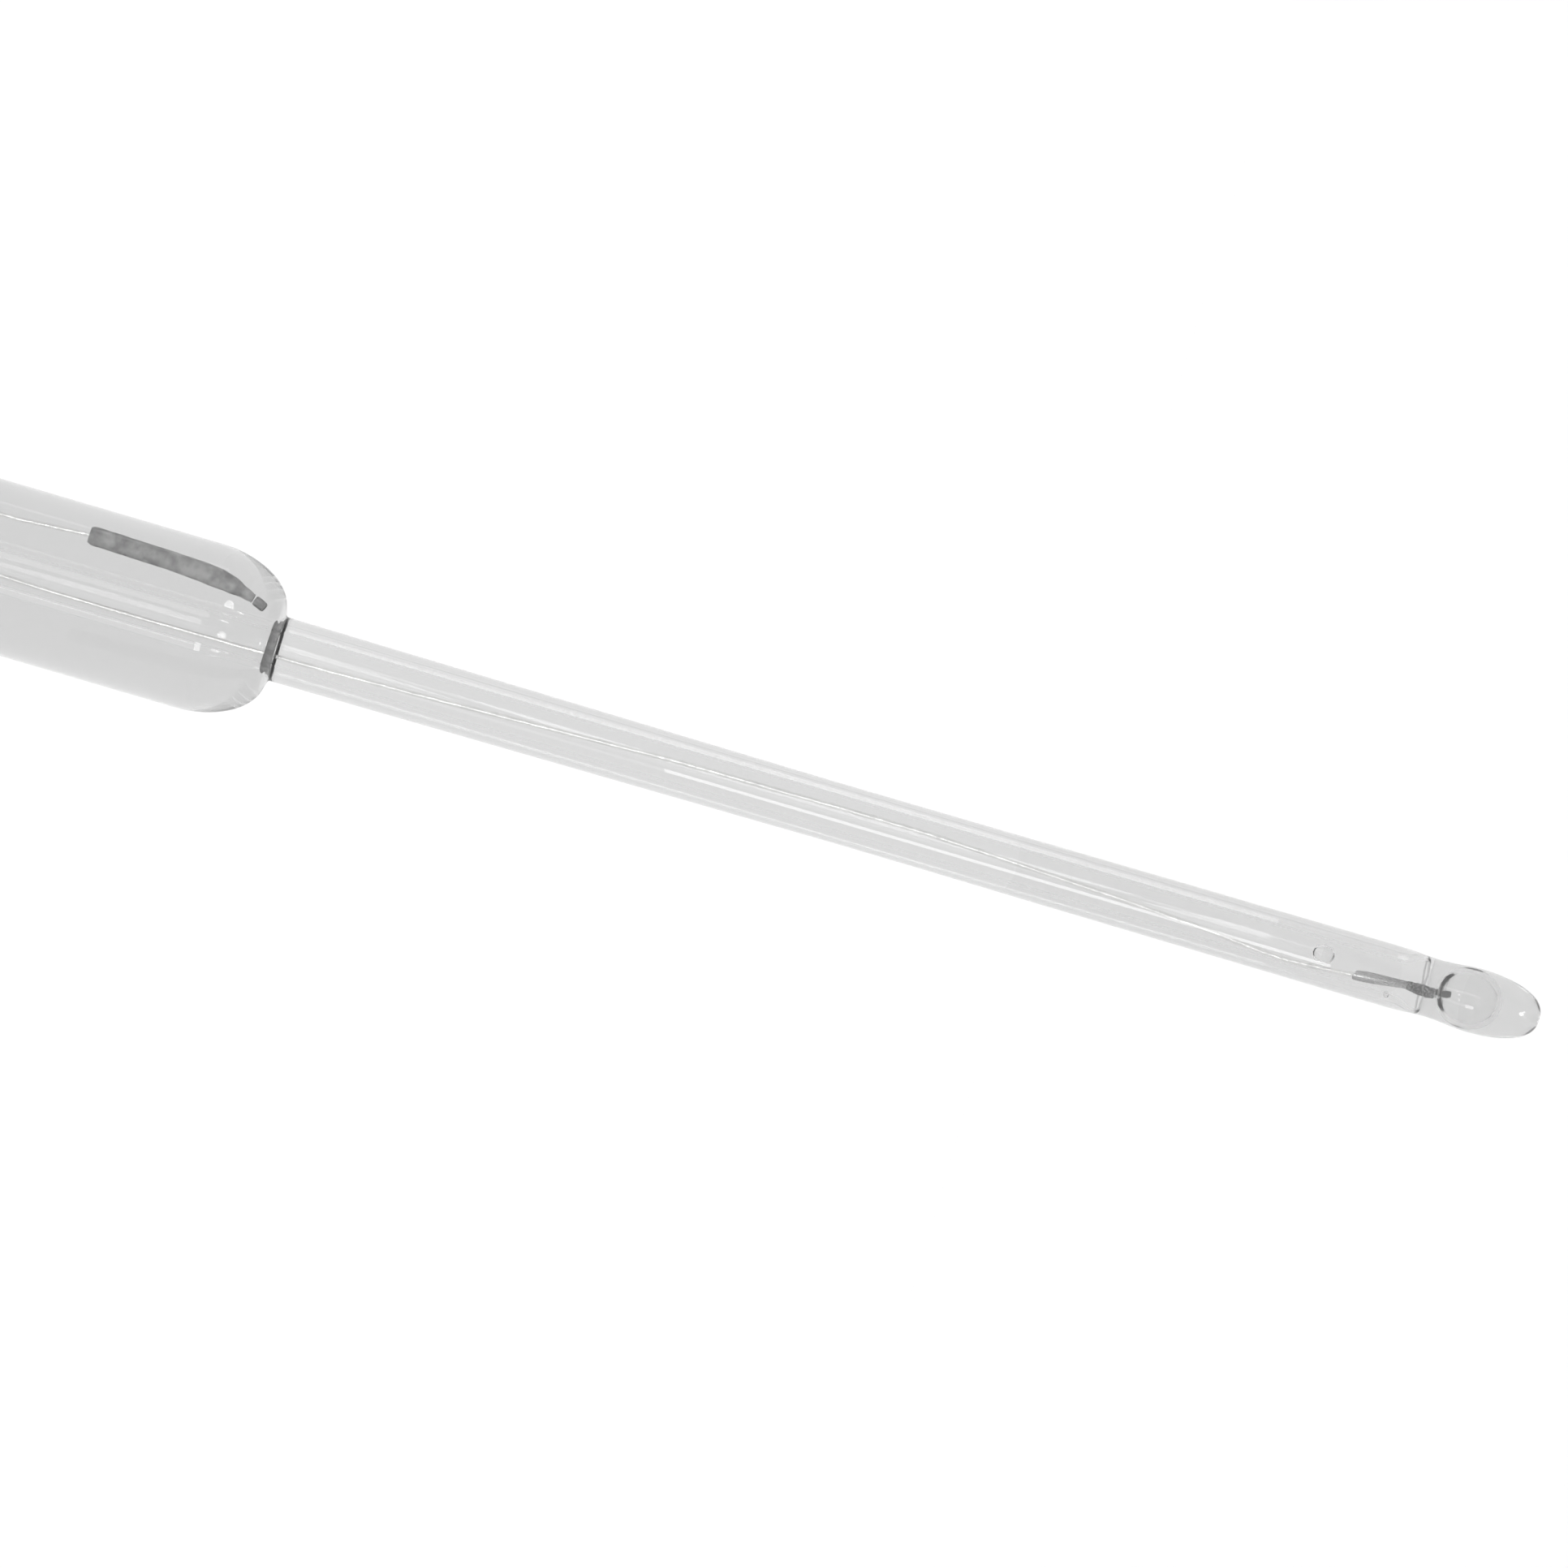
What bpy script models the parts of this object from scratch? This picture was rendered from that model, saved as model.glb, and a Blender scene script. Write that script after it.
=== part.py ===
"""Combination pH electrode with a narrow glass stem, tip down, in metres.

Z is the electrode's axis and the tip of the bulb stands at the origin. The reference
cartridge lies on the +X side, and the refill hole faces -Y.
"""

import math

import bmesh
import bpy
from mathutils import Vector

MM = 0.001

# Glass shaft
SHAFT_RADIUS = 6.0 * MM
SHAFT_TOP = 160.0 * MM
SHAFT_WALL = 1.1 * MM
SHOULDER_TOP = 98.2 * MM
SHOULDER_HEIGHT = 5.75 * MM
NECK_Z = 92.3 * MM
NECK_RADIUS = 2.34 * MM
NECK_FILLET = 0.45 * MM
SLIMMEST_Z = 53.0 * MM
SLIMMEST_RADIUS = 2.11 * MM
STEM_FOOT_Z = 10.7 * MM
STEM_FOOT_RADIUS = 2.195 * MM
STEM_WALL = 0.45 * MM

# Bulb and ring seal
WAIST_Z = 7.8 * MM
WAIST_RADIUS = 2.066 * MM
BULB_RADIUS = 2.28 * MM
BULB_WIDEST_Z = 4.75 * MM
BULB_BLUNTNESS = 2.6
BULB_RIM_Z = 8.2 * MM
BULB_WALL = 0.25 * MM
FUSED_GAP = 0.05 * MM

# Inner tube
TUBE_RADIUS = 1.34 * MM
TUBE_BORE = 0.87 * MM
TUBE_TOP = 158.0 * MM
FLARE_TOP = 10.4 * MM
FLARE_FOOT = 8.5 * MM

# Refill hole and its sleeve
REFILL_Z = 135.0 * MM
REFILL_RADIUS = 1.2 * MM
SLEEVE_HALF_LENGTH = 5.5 * MM
SLEEVE_RADIUS = 7.9 * MM
SLEEVE_CLEARANCE = 0.2 * MM
SLEEVE_RING_OFFSET = 3.2 * MM
SLEEVE_RING_SECTION = 0.45 * MM

# Wires and the parts on them
WIRE_RADIUS = 0.11 * MM
WIRE_CLEARANCE = 0.06 * MM
REFERENCE_X = 2.6 * MM
CARTRIDGE_RADIUS = 0.53 * MM
CARTRIDGE_TOP = 107.15 * MM
NECK_RING_Z = 93.05 * MM
ELEMENT_TOP = 13.4 * MM

# Ceramic junction, a radial pin in the stem's wall
JUNCTION_Z = 10.9 * MM
JUNCTION_RADIUS = 0.2 * MM
JUNCTION_AZIMUTH = math.radians(229.6)

# Head and connector
COLLAR_Z = 150.0 * MM
COLLAR_RADIUS = 9.0 * MM
COLLAR_HEIGHT = 2.6 * MM
GRIP_RADIUS = 8.0 * MM
HEAD_TOP = 182.0 * MM
HEAD_WALL_Z = 177.0 * MM
HEAD_CAVITY = 5.6 * MM
BUSH_SHANK = 4.3 * MM
BUSH_BORE = 3.45 * MM
BUSH_THREAD = 4.9 * MM
BUSH_FLANGE = 6.1 * MM
BUSH_TOP = 194.0 * MM
INSULATOR_FOOT = 176.0 * MM
CONTACT_FOOT = 175.2 * MM
FIT_GAP = 0.05 * MM

# Fineness
SEGMENTS = 32
FINE_SEGMENTS = 16
MERGE_DISTANCE = 1e-6
SMOOTH_ANGLE = math.radians(32)


def remove_startup_objects():
    for thing in list(bpy.data.objects):
        bpy.data.objects.remove(thing, do_unlink=True)


def new_collection(name):
    collection = bpy.data.collections.new(name)
    bpy.context.scene.collection.children.link(collection)
    return collection


remove_startup_objects()
PARTS = new_collection("ph_electrode")
CUTTERS = new_collection("cutters")


# Materials


def finish(name, colour, roughness, metallic=0.0, transmission=0.0, alpha=1.0):
    material = bpy.data.materials.new(name)
    material.use_nodes = True
    shader = material.node_tree.nodes["Principled BSDF"]
    shader.inputs["Base Color"].default_value = (*colour, 1.0)
    shader.inputs["Roughness"].default_value = roughness
    shader.inputs["Metallic"].default_value = metallic
    shader.inputs["Transmission Weight"].default_value = transmission
    shader.inputs["Alpha"].default_value = alpha
    return material


CLEAR_GLASS = finish("clear_glass", (0.84, 0.85, 0.85), 0.02, transmission=1.0, alpha=0.4)
MEMBRANE_GLASS = finish("membrane_glass", (0.86, 0.87, 0.87), 0.02, transmission=1.0, alpha=0.4)
SILVER = finish("silver_wire", (0.86, 0.86, 0.85), 0.22, metallic=1.0)
CARTRIDGE_GREY = finish("cartridge_grey", (0.19, 0.19, 0.19), 0.6)
PLUG_GREY = finish("plug_grey", (0.3, 0.3, 0.3), 0.8)
RING_RUBBER = finish("ring_rubber", (0.06, 0.06, 0.06), 0.5)
JUNCTION_CERAMIC = finish("junction_ceramic", (0.75, 0.75, 0.73), 0.8)
PELLET_GREY = finish("pellet_grey", (0.22, 0.22, 0.22), 0.55)
SLEEVE_METAL = finish("sleeve_metal", (0.6, 0.6, 0.6), 0.25, metallic=1.0)
HEAD_PLASTIC = finish("head_plastic", (0.055, 0.057, 0.06), 0.45)
SLIDER_PLASTIC = finish("slider_plastic", (0.16, 0.165, 0.17), 0.5)
SEAL_RUBBER = finish("seal_rubber", (0.03, 0.03, 0.03), 0.6)
STOPPER_SILICONE = finish("stopper_silicone", (0.7, 0.7, 0.68), 0.5)
POTTING_RESIN = finish("potting_resin", (0.09, 0.09, 0.09), 0.35)
BUSH_NICKEL = finish("bush_nickel", (0.66, 0.65, 0.62), 0.28, metallic=1.0)
INSULATOR_WHITE = finish("insulator_white", (0.85, 0.85, 0.83), 0.45)
CONTACT_GOLD = finish("contact_gold", (0.83, 0.66, 0.33), 0.22, metallic=1.0)
SOLDER = finish("solder", (0.62, 0.62, 0.62), 0.3, metallic=1.0)


# Outlines


def blend(start, end, share):
    """A value that leaves start and reaches end level, as share runs from 0 to 1."""
    return start + (end - start) * (1.0 - math.cos(math.pi * share)) / 2.0


def spaced(first, last, count):
    return [first + (last - first) * i / (count - 1) for i in range(count)]


def bulb_radius(z, shrink=0.0):
    """The bulb's outer radius, a blunt ellipse below its widest level; shrink gives its inside."""
    share = (BULB_WIDEST_Z - z) / (BULB_WIDEST_Z - shrink)
    if z >= BULB_WIDEST_Z:
        climb = min(1.0, (z - BULB_WIDEST_Z) / (WAIST_Z - BULB_WIDEST_Z))
        return blend(BULB_RADIUS, WAIST_RADIUS, climb) - shrink
    return (BULB_RADIUS - shrink) * max(0.0, 1.0 - share**2) ** (1.0 / BULB_BLUNTNESS)


def stem_radius(z):
    """The stem's outer radius: it is slimmest near the middle and opens towards the neck."""
    if z <= WAIST_Z:
        return WAIST_RADIUS
    if z <= STEM_FOOT_Z:
        return blend(WAIST_RADIUS, STEM_FOOT_RADIUS, (z - WAIST_Z) / (STEM_FOOT_Z - WAIST_Z))
    if z <= SLIMMEST_Z:
        share = (SLIMMEST_Z - z) / (SLIMMEST_Z - STEM_FOOT_Z)
        return blend(SLIMMEST_RADIUS, STEM_FOOT_RADIUS, share)
    share = (z - SLIMMEST_Z) / (NECK_Z - SLIMMEST_Z)
    return SLIMMEST_RADIUS + (NECK_RADIUS - SLIMMEST_RADIUS) * share


def shoulder(radius, top, height, neck, fillet, turns):
    """Points down a rounded shoulder: a quarter ellipse, then a small hollow fillet into the stem."""
    points = []
    centre = neck + fillet * 0.6
    for angle in spaced(0.0, math.radians(82.0), turns):
        reach = centre + (radius - centre) * math.cos(angle)
        points.append((reach, top - height * math.sin(angle)))
    last_radius, last_z = points[-1]
    points.append((neck + (last_radius - neck) * 0.32, last_z - fillet * 0.45))
    points.append((neck, last_z - fillet * 1.5))
    return points


def stem_levels():
    """Heights down the stem, close together only where its radius changes quickly."""
    return spaced(88.0 * MM, 16.0 * MM, 9) + spaced(STEM_FOOT_Z + 1.2 * MM, BULB_RIM_Z, 6)


# Building blocks


def turned(name, profile, material, closed=True, segments=SEGMENTS):
    """A piece turned about Z from (radius, height) points that run down its outer side first."""
    edges = [(i, i + 1) for i in range(len(profile) - 1)]
    if closed:
        edges.append((len(profile) - 1, 0))
    mesh = bpy.data.meshes.new(name)
    mesh.from_pydata([(radius, 0.0, z) for radius, z in profile], edges, [])
    piece = bpy.data.objects.new(name, mesh)
    PARTS.objects.link(piece)
    screw = piece.modifiers.new("turn", "SCREW")
    screw.steps = segments
    screw.render_steps = segments
    screw.use_merge_vertices = True
    screw.merge_threshold = MERGE_DISTANCE
    return meshed(piece, material)


def meshed(piece, material):
    """The piece with its modifiers or curve made a welded mesh, shaded smooth between its edges."""
    evaluated = piece.evaluated_get(bpy.context.evaluated_depsgraph_get())
    mesh = bpy.data.meshes.new_from_object(evaluated)
    name = piece.name
    place = piece.matrix_world.copy()
    bpy.data.objects.remove(piece, do_unlink=True)
    shell = bmesh.new()
    shell.from_mesh(mesh)
    bmesh.ops.remove_doubles(shell, verts=shell.verts, dist=MERGE_DISTANCE)
    shell.to_mesh(mesh)
    shell.free()
    mesh.name = name
    mesh.materials.clear()
    mesh.materials.append(material)
    mesh.shade_smooth()
    mesh.set_sharp_from_angle(angle=SMOOTH_ANGLE)
    solid = bpy.data.objects.new(name, mesh)
    solid.matrix_world = place
    PARTS.objects.link(solid)
    return solid


def wire(name, route, radii, material, resolution=3, sides=2):
    """A round wire or rod along a smooth curve through the route, with a radius at each point."""
    curve = bpy.data.curves.new(name, "CURVE")
    curve.dimensions = "3D"
    curve.bevel_depth = 1.0
    curve.bevel_resolution = sides
    curve.resolution_u = resolution
    curve.use_fill_caps = True
    spline = curve.splines.new("BEZIER")
    spline.bezier_points.add(len(route) - 1)
    for point, place, radius in zip(spline.bezier_points, route, radii):
        point.co = place
        point.radius = radius
        point.handle_left_type = "AUTO"
        point.handle_right_type = "AUTO"
    piece = bpy.data.objects.new(name, curve)
    PARTS.objects.link(piece)
    bpy.context.view_layer.update()
    return meshed(piece, material)


def cut_hole(piece, name, centre, direction, radius, depth, segments=FINE_SEGMENTS):
    """A round hole bored through the piece at centre, along direction."""
    mesh = bpy.data.meshes.new(name)
    drill = bmesh.new()
    bmesh.ops.create_cone(
        drill, cap_ends=True, segments=segments, radius1=radius, radius2=radius, depth=depth
    )
    drill.to_mesh(mesh)
    drill.free()
    cutter = bpy.data.objects.new(name, mesh)
    cutter.location = centre
    cutter.rotation_euler = Vector(direction).to_track_quat("Z", "Y").to_euler()
    cutter.hide_render = True
    cutter.display_type = "WIRE"
    CUTTERS.objects.link(cutter)
    bore = piece.modifiers.new(name, "BOOLEAN")
    bore.object = cutter
    bore.operation = "DIFFERENCE"
    bore.solver = "EXACT"


def ring(name, radius, z, half_width, half_height, material, corners=8, segments=SEGMENTS):
    """A ring about Z with an oval section."""
    profile = []
    for i in range(corners):
        angle = -2.0 * math.pi * i / corners
        profile.append((radius + half_width * math.cos(angle), z + half_height * math.sin(angle)))
    return turned(name, profile, material, segments=segments)


def tube(name, outer, inner, top, foot, material, segments=SEGMENTS):
    """A plain tube about Z."""
    profile = [(outer, top), (outer, foot), (inner, foot), (inner, top)]
    return turned(name, profile, material, segments=segments)


# Glass


def make_outer_shaft():
    outside = [(SHAFT_RADIUS, SHAFT_TOP)]
    outside += shoulder(
        SHAFT_RADIUS, SHOULDER_TOP, SHOULDER_HEIGHT, NECK_RADIUS, NECK_FILLET, turns=10
    )
    outside += [(stem_radius(z), z) for z in stem_levels()]
    inside = [(stem_radius(z) - STEM_WALL, z) for z in reversed(stem_levels())]
    inside += reversed(
        shoulder(
            SHAFT_RADIUS - SHAFT_WALL,
            SHOULDER_TOP,
            SHOULDER_HEIGHT - SHAFT_WALL * 0.75,
            NECK_RADIUS - STEM_WALL,
            NECK_FILLET,
            turns=8,
        )
    )
    inside.append((SHAFT_RADIUS - SHAFT_WALL, SHAFT_TOP))
    shaft = turned("outer_shaft", outside + inside, CLEAR_GLASS)
    cut_hole(
        shaft,
        "refill_hole_cutter",
        (0.0, -SHAFT_RADIUS, REFILL_Z),
        (0.0, 1.0, 0.0),
        REFILL_RADIUS,
        4.0 * SHAFT_WALL,
    )
    cut_hole(
        shaft,
        "junction_hole_cutter",
        junction_place(),
        junction_direction(),
        JUNCTION_RADIUS + FIT_GAP,
        3.0 * STEM_WALL,
        segments=10,
    )


def make_inner_tube():
    flare = spaced(FLARE_TOP, FLARE_FOOT, 5)
    foot_radius = stem_radius(FLARE_FOOT) - STEM_WALL - FUSED_GAP
    outside = [(TUBE_RADIUS, TUBE_TOP)]
    inside = [(TUBE_BORE, TUBE_TOP)]
    for z in flare:
        share = (FLARE_TOP - z) / (FLARE_TOP - FLARE_FOOT)
        outside.append((blend(TUBE_RADIUS, foot_radius, share), z))
        inside.append((blend(TUBE_BORE, foot_radius - 0.3 * MM, share), z))
    turned("inner_tube", outside + list(reversed(inside)), CLEAR_GLASS)


def make_membrane_bulb():
    rim = BULB_RIM_Z - FUSED_GAP
    levels = spaced(rim, BULB_WIDEST_Z, 6)
    dome = [BULB_WIDEST_Z * (1.0 - math.sin(a)) for a in spaced(0.12, math.pi / 2.0, 10)]
    inner_dome = [
        BULB_WALL + (BULB_WIDEST_Z - BULB_WALL) * (1.0 - math.sin(a))
        for a in spaced(0.15, math.pi / 2.0, 8)
    ]
    inside = [(bulb_radius(z, BULB_WALL), z) for z in levels + inner_dome]
    outside = [(bulb_radius(z), z) for z in levels + dome]
    inside[-1] = (0.0, BULB_WALL)
    outside[-1] = (0.0, 0.0)
    turned("membrane_bulb", list(reversed(inside)) + outside, MEMBRANE_GLASS, closed=False)


# Junction and neck ring


def junction_direction():
    return (math.cos(JUNCTION_AZIMUTH), math.sin(JUNCTION_AZIMUTH), 0.0)


def junction_place():
    reach = stem_radius(JUNCTION_Z) - STEM_WALL / 2.0
    across, along, _ = junction_direction()
    return (across * reach, along * reach, JUNCTION_Z)


def make_ceramic_junction():
    half = Vector(junction_direction()) * (STEM_WALL / 2.0 - 0.01 * MM)
    centre = Vector(junction_place())
    ends = [centre - half, centre + half]
    wire("ceramic_junction", ends, [JUNCTION_RADIUS] * 2, JUNCTION_CERAMIC, resolution=1, sides=3)


def make_neck_ring():
    bore = NECK_RADIUS - STEM_WALL
    half_width = (bore - TUBE_RADIUS) / 2.0 - FIT_GAP
    middle = (bore + TUBE_RADIUS) / 2.0
    ring("neck_ring", middle, NECK_RING_Z, half_width, 0.36 * MM, RING_RUBBER, corners=10)


# Reference side


def make_reference_cartridge():
    """The rod leans out a little from the shaft's axis and curves in where it narrows."""
    across = (
        (107.15, 3.02), (104.0, 2.95), (100.8, 2.88), (98.2, 2.75), (96.9, 2.58), (96.0, 2.36),
        (95.45, 2.2),
    )
    route = [(x * MM, 0.0, z * MM) for z, x in across]
    widths = (1.0, 1.0, 1.0, 1.06, 0.92, 0.6, 0.47)
    radii = [CARTRIDGE_RADIUS * width for width in widths]
    wire("reference_cartridge", route, radii, CARTRIDGE_GREY, resolution=3, sides=3)


def make_cartridge_plug():
    ends = [(2.16 * MM, 0.0, 95.35 * MM), (1.9 * MM, 0.0, 94.7 * MM)]
    wire("cartridge_plug", ends, [0.27 * MM] * 2, PLUG_GREY, resolution=1, sides=3)


def make_reference_wire():
    route = [
        (3.0 * MM, 0.0, CARTRIDGE_TOP + FIT_GAP),
        (2.82 * MM, 0.0, 110.5 * MM),
        (2.7 * MM, 0.05 * MM, 113.5 * MM),
        (2.8 * MM, -0.08 * MM, 122.0 * MM),
        (2.63 * MM, 0.06 * MM, 136.0 * MM),
        (REFERENCE_X, 0.0, 150.0 * MM),
        (REFERENCE_X, 0.0, 164.0 * MM),
        (2.45 * MM, 0.0, CONTACT_FOOT - 1.15 * MM),
    ]
    wire("reference_wire", route, [WIRE_RADIUS] * len(route), SILVER)


# Measuring side


def make_measuring_wire():
    """The wire leans from wall to wall of the inner tube, then enters the stopper on the axis."""
    across = (
        (12.2, -0.42), (15.5, -0.62), (18.9, -0.72), (24.1, -0.42), (29.8, -0.16), (41.2, 0.2),
        (46.9, 0.31), (58.0, 0.26), (63.9, 0.21), (74.2, -0.05), (84.0, -0.29), (92.4, -0.42),
        (110.0, -0.45), (130.0, 0.1), (148.0, 0.0), (160.0, 0.0), (167.0, 0.0),
    )
    route = [(x * MM, 0.0, z * MM) for z, x in across]
    route.append((0.0, 0.0, CONTACT_FOOT - 1.15 * MM))
    wire("measuring_wire", route, [WIRE_RADIUS] * len(route), SILVER)


def make_contact_sleeve():
    """A small tapered tube, open where the wire enters it, leaning towards the axis."""
    length = 3.75 * MM
    profile = [
        (0.27 * MM, 0.0),
        (0.3 * MM, -0.7 * MM),
        (0.28 * MM, -1.6 * MM),
        (0.21 * MM, -length),
        (0.0, -length),
    ]
    inside = [(0.0, -1.5 * MM), (0.19 * MM, -1.4 * MM), (0.2 * MM, 0.0)]
    sleeve = turned("contact_sleeve", inside + profile, SLEEVE_METAL, closed=False, segments=16)
    sleeve.location = (-0.48 * MM, 0.0, ELEMENT_TOP)
    sleeve.rotation_euler = (0.0, math.radians(-3.9), 0.0)


def make_silver_chloride_pellet():
    top = (-0.23 * MM, 0.0, ELEMENT_TOP - 3.82 * MM)
    middle = (-0.26 * MM, 0.0, 8.5 * MM)
    foot = (-0.26 * MM, 0.0, 7.55 * MM)
    radii = [0.25 * MM, 0.3 * MM, 0.28 * MM]
    wire("silver_chloride_pellet", [top, middle, foot], radii, PELLET_GREY, sides=3)


def make_contact_tip():
    route = [(-0.22 * MM, 0.0, 7.47 * MM), (-0.14 * MM, 0.0, 7.0 * MM), (-0.08 * MM, 0.0, 6.6 * MM)]
    wire("contact_tip", route, [0.17 * MM, 0.2 * MM, 0.17 * MM], PELLET_GREY, sides=3)


# Closures at the top of the glass


def make_inner_tube_stopper():
    bore = WIRE_RADIUS + WIRE_CLEARANCE
    shank = TUBE_BORE - FIT_GAP
    seat = TUBE_TOP + FIT_GAP
    profile = [
        (TUBE_RADIUS, seat + 0.9 * MM),
        (TUBE_RADIUS, seat),
        (shank, seat),
        (shank - 0.05 * MM, TUBE_TOP - 5.0 * MM),
        (bore, TUBE_TOP - 5.0 * MM),
        (bore, seat + 0.9 * MM),
    ]
    turned("inner_tube_stopper", profile, STOPPER_SILICONE, segments=FINE_SEGMENTS)


def make_shaft_potting():
    """The resin fills the top of the shaft and stands over its rim, round the inner tube."""
    inner = TUBE_RADIUS + 2.0 * FIT_GAP
    plug = SHAFT_RADIUS - SHAFT_WALL - FIT_GAP
    cover = HEAD_CAVITY - 2.0 * FIT_GAP
    foot = 152.0 * MM
    profile = [
        (cover, SHAFT_TOP + 3.4 * MM),
        (cover, SHAFT_TOP + FIT_GAP),
        (plug, SHAFT_TOP + FIT_GAP),
        (plug, foot),
        (inner, foot),
        (inner, SHAFT_TOP + 3.0 * MM),
    ]
    potting = turned("shaft_potting", profile, POTTING_RESIN)
    wire_x = REFERENCE_X
    cut_hole(
        potting,
        "potting_wire_cutter",
        (wire_x, 0.0, 158.0 * MM),
        (0.0, 0.0, 1.0),
        WIRE_RADIUS + 2.0 * WIRE_CLEARANCE,
        20.0 * MM,
        segments=10,
    )


# Head


def make_head_body():
    socket = SHAFT_RADIUS + 2.0 * FIT_GAP
    bush_bore = BUSH_SHANK + FIT_GAP
    outside = [
        (BUSH_FLANGE + 0.2 * MM, HEAD_TOP),
        (GRIP_RADIUS - 0.9 * MM, HEAD_TOP - 0.5 * MM),
        (GRIP_RADIUS - 0.2 * MM, HEAD_TOP - 1.9 * MM),
        (GRIP_RADIUS, HEAD_TOP - 4.0 * MM),
        (GRIP_RADIUS, COLLAR_Z + COLLAR_HEIGHT + 2.4 * MM),
        (GRIP_RADIUS - 0.5 * MM, COLLAR_Z + COLLAR_HEIGHT + 1.8 * MM),
        (GRIP_RADIUS - 0.5 * MM, COLLAR_Z + COLLAR_HEIGHT),
        (COLLAR_RADIUS - 0.4 * MM, COLLAR_Z + COLLAR_HEIGHT),
        (COLLAR_RADIUS, COLLAR_Z + COLLAR_HEIGHT - 0.4 * MM),
        (COLLAR_RADIUS, COLLAR_Z + 0.3 * MM),
        (COLLAR_RADIUS - 0.3 * MM, COLLAR_Z),
    ]
    inside = [
        (socket, COLLAR_Z),
        (socket, SHAFT_TOP + 2.0 * FIT_GAP),
        (HEAD_CAVITY, SHAFT_TOP + 2.0 * FIT_GAP),
        (HEAD_CAVITY, HEAD_WALL_Z),
        (bush_bore, HEAD_WALL_Z),
        (bush_bore, HEAD_TOP),
    ]
    turned("head_body", outside + inside, HEAD_PLASTIC)


def make_connector_bush():
    flange_foot = HEAD_TOP + FIT_GAP
    profile = [
        (BUSH_THREAD - 0.5 * MM, BUSH_TOP),
        (BUSH_THREAD, BUSH_TOP - 0.5 * MM),
        (BUSH_THREAD, flange_foot + 1.5 * MM),
        (BUSH_FLANGE, flange_foot + 1.5 * MM),
        (BUSH_FLANGE, flange_foot),
        (BUSH_SHANK, flange_foot),
        (BUSH_SHANK, INSULATOR_FOOT),
        (BUSH_BORE, INSULATOR_FOOT),
        (BUSH_BORE, BUSH_TOP - 0.3 * MM),
        (BUSH_BORE + 0.3 * MM, BUSH_TOP),
    ]
    turned("connector_bush", profile, BUSH_NICKEL)


def make_connector_o_ring():
    section = 0.5 * MM
    middle = BUSH_THREAD + section + FIT_GAP
    z = HEAD_TOP + 1.5 * MM + section + 2.0 * FIT_GAP
    ring("connector_o_ring", middle, z, section, section, SEAL_RUBBER)


def make_contacts():
    insulator_outer = BUSH_BORE - FIT_GAP
    ring_outer = 2.65 * MM
    ring_inner = 2.25 * MM
    pin = 0.8 * MM
    tube(
        "outer_insulator", insulator_outer, ring_outer + FIT_GAP, 189.5 * MM, INSULATOR_FOOT,
        INSULATOR_WHITE,
    )
    tube("ring_contact", ring_outer, ring_inner, 192.6 * MM, CONTACT_FOOT, CONTACT_GOLD)
    tube(
        "inner_insulator", ring_inner - FIT_GAP, pin + FIT_GAP, 188.8 * MM, INSULATOR_FOOT,
        INSULATOR_WHITE, segments=24,
    )
    tip = 192.0 * MM
    point = [
        (pin * math.sin(a), tip - pin * (1.0 - math.cos(a))) for a in spaced(0.0, math.pi / 2.0, 5)
    ]
    shank = [(pin, 177.0 * MM), (0.55 * MM, 177.0 * MM), (0.55 * MM, CONTACT_FOOT), (0.0, CONTACT_FOOT)]
    turned("centre_contact", point + shank, CONTACT_GOLD, closed=False, segments=FINE_SEGMENTS)


def make_solder_joints():
    """A small solder bead under each contact, between it and the end of its wire."""
    for name, x, radius in (("measuring_solder", 0.0, 0.5 * MM), ("reference_solder", 2.45 * MM, 0.4 * MM)):
        top = CONTACT_FOOT - FIT_GAP
        foot = CONTACT_FOOT - 1.1 * MM
        middle = (top + foot) / 2.0
        route = [(x, 0.0, top), (x, 0.0, middle), (x, 0.0, foot)]
        wire(name, route, [radius * 0.7, radius, radius * 0.4], SOLDER, resolution=3)


# Refill sleeve


def make_refill_sleeve():
    """The sleeve's two inner grooves hold its O-rings, above and below the refill hole."""
    bore = SHAFT_RADIUS + SLEEVE_CLEARANCE
    groove = SHAFT_RADIUS + 2.0 * SLEEVE_RING_SECTION + 3.0 * FIT_GAP
    half_groove = SLEEVE_RING_SECTION + FIT_GAP
    edge = 0.4 * MM
    outside = [
        (SLEEVE_RADIUS - edge, SLEEVE_HALF_LENGTH),
        (SLEEVE_RADIUS, SLEEVE_HALF_LENGTH - edge),
        (SLEEVE_RADIUS, edge - SLEEVE_HALF_LENGTH),
        (SLEEVE_RADIUS - edge, -SLEEVE_HALF_LENGTH),
    ]
    inside = [(bore, -SLEEVE_HALF_LENGTH)]
    for z in (-SLEEVE_RING_OFFSET, SLEEVE_RING_OFFSET):
        inside += [(bore, z - half_groove), (groove, z - half_groove)]
        inside += [(groove, z + half_groove), (bore, z + half_groove)]
    inside.append((bore, SLEEVE_HALF_LENGTH))
    slide = bpy.data.objects.new("refill_slide", None)
    slide.location = (0.0, 0.0, REFILL_Z)
    PARTS.objects.link(slide)
    middle = SHAFT_RADIUS + FIT_GAP + SLEEVE_RING_SECTION
    pieces = [
        turned("refill_sleeve", outside + inside, SLIDER_PLASTIC),
        ring("upper_sleeve_ring", middle, SLEEVE_RING_OFFSET, SLEEVE_RING_SECTION,
             SLEEVE_RING_SECTION, SEAL_RUBBER),
        ring("lower_sleeve_ring", middle, -SLEEVE_RING_OFFSET, SLEEVE_RING_SECTION,
             SLEEVE_RING_SECTION, SEAL_RUBBER),
    ]
    for piece in pieces:
        piece.parent = slide


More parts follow.
